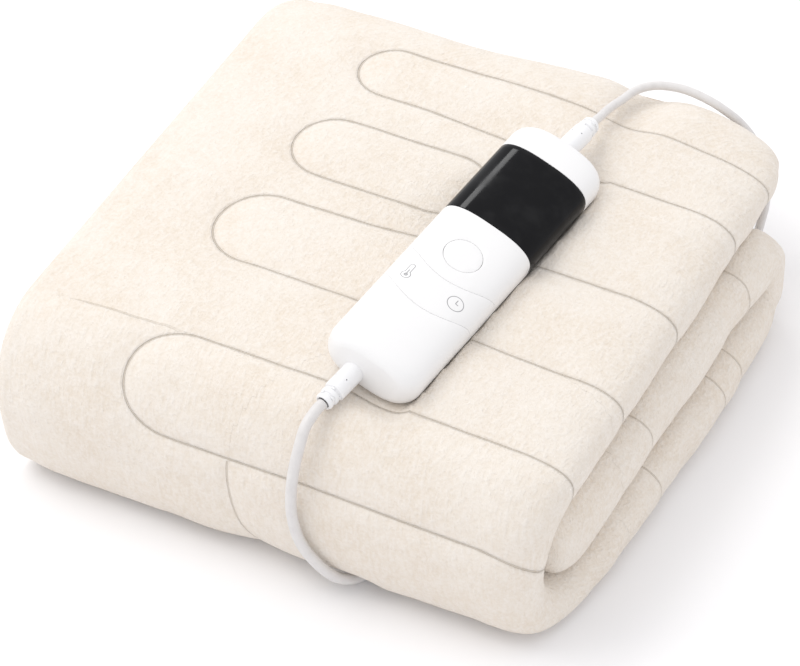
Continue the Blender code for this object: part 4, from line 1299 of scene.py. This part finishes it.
blade = Finish("blade_metal", Metallic=1, Roughness=0.24)
spot = blade.place()
drawn = spot.node("ShaderNodeVectorMath", {"operation": "MULTIPLY"}, {0: spot, 1: (0.06, 1, 1)})
streaks = grain(drawn, 2200, 2, 0.6)
blade.feed("Roughness", streaks * 0.16 + 0.16)
blade.feed("Base Color", blend_colour(streaks, (0.72, 0.68, 0.58, 1), (0.86, 0.84, 0.78, 1)))
blade.bump(streaks * 0.02, 0.5)

band = Finish("tie_grey", Roughness=0.55, Specular_IOR_Level=0.3)
spot = band.place()
ridge = spot.node("ShaderNodeSeparateXYZ", {}, {"Vector": spot}) - coil_middle.x
core_wire = line(ridge * 1000, 0.35, 0.5)
speck = grain(spot, 900, 2, 0.6)
band.feed("Base Color", blend_colour(speck, (0.5, 0.5, 0.51, 1), (0.6, 0.6, 0.61, 1)))
band.feed("Roughness", speck * 0.2 + 0.45)
band.bump(core_wire * 0.35 + speck * 0.03, 0.8)
print("finishes:", [material.name for material in bpy.data.materials][-8:])

# %% [markdown]
# ## Every piece finds its body
# Each piece takes its finish, rides on the body that carries it, and says which solids of the
# model it stands for. The button and the key bar move, so they ride on bodies of their own.

# %% Finishes, bodies and solids
ROOT = "blanket_and_controller"
TABLE = (
    (cloth, plush, ROOT, ("blanket",)),
    (case, white, ROOT, ("controller_shell",)),
    (window, glass, ROOT, ("display_window",)),
    (button, white, "power_button", ("power_button",)),
    (key_bar, keys, "key_bar", ("key_bar",)),
    (sleeves["relief_front"], sleeve_white, ROOT, ("relief_front",)),
    (sleeves["relief_back"], sleeve_white, ROOT, ("relief_back",)),
    (blanket_lead, lead_grey, ROOT, ("lead_blanket",)),
    (mains_lead, lead_grey, ROOT, ("lead_mains", "lead_coil", "lead_plug")),
    (plug, plug_white, ROOT, ("mains_plug",)),
    (pins[0], blade, ROOT, ("pin_left",)),
    (pins[1], blade, ROOT, ("pin_right",)),
    (tie, band, ROOT, ("lead_tie",)),
)
for made, finish, body, nodes in TABLE:
    made.data.materials.clear()
    made.data.materials.append(finish.material)
    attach(made, body)
    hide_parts(*nodes)
print("pieces:", len(TABLE))
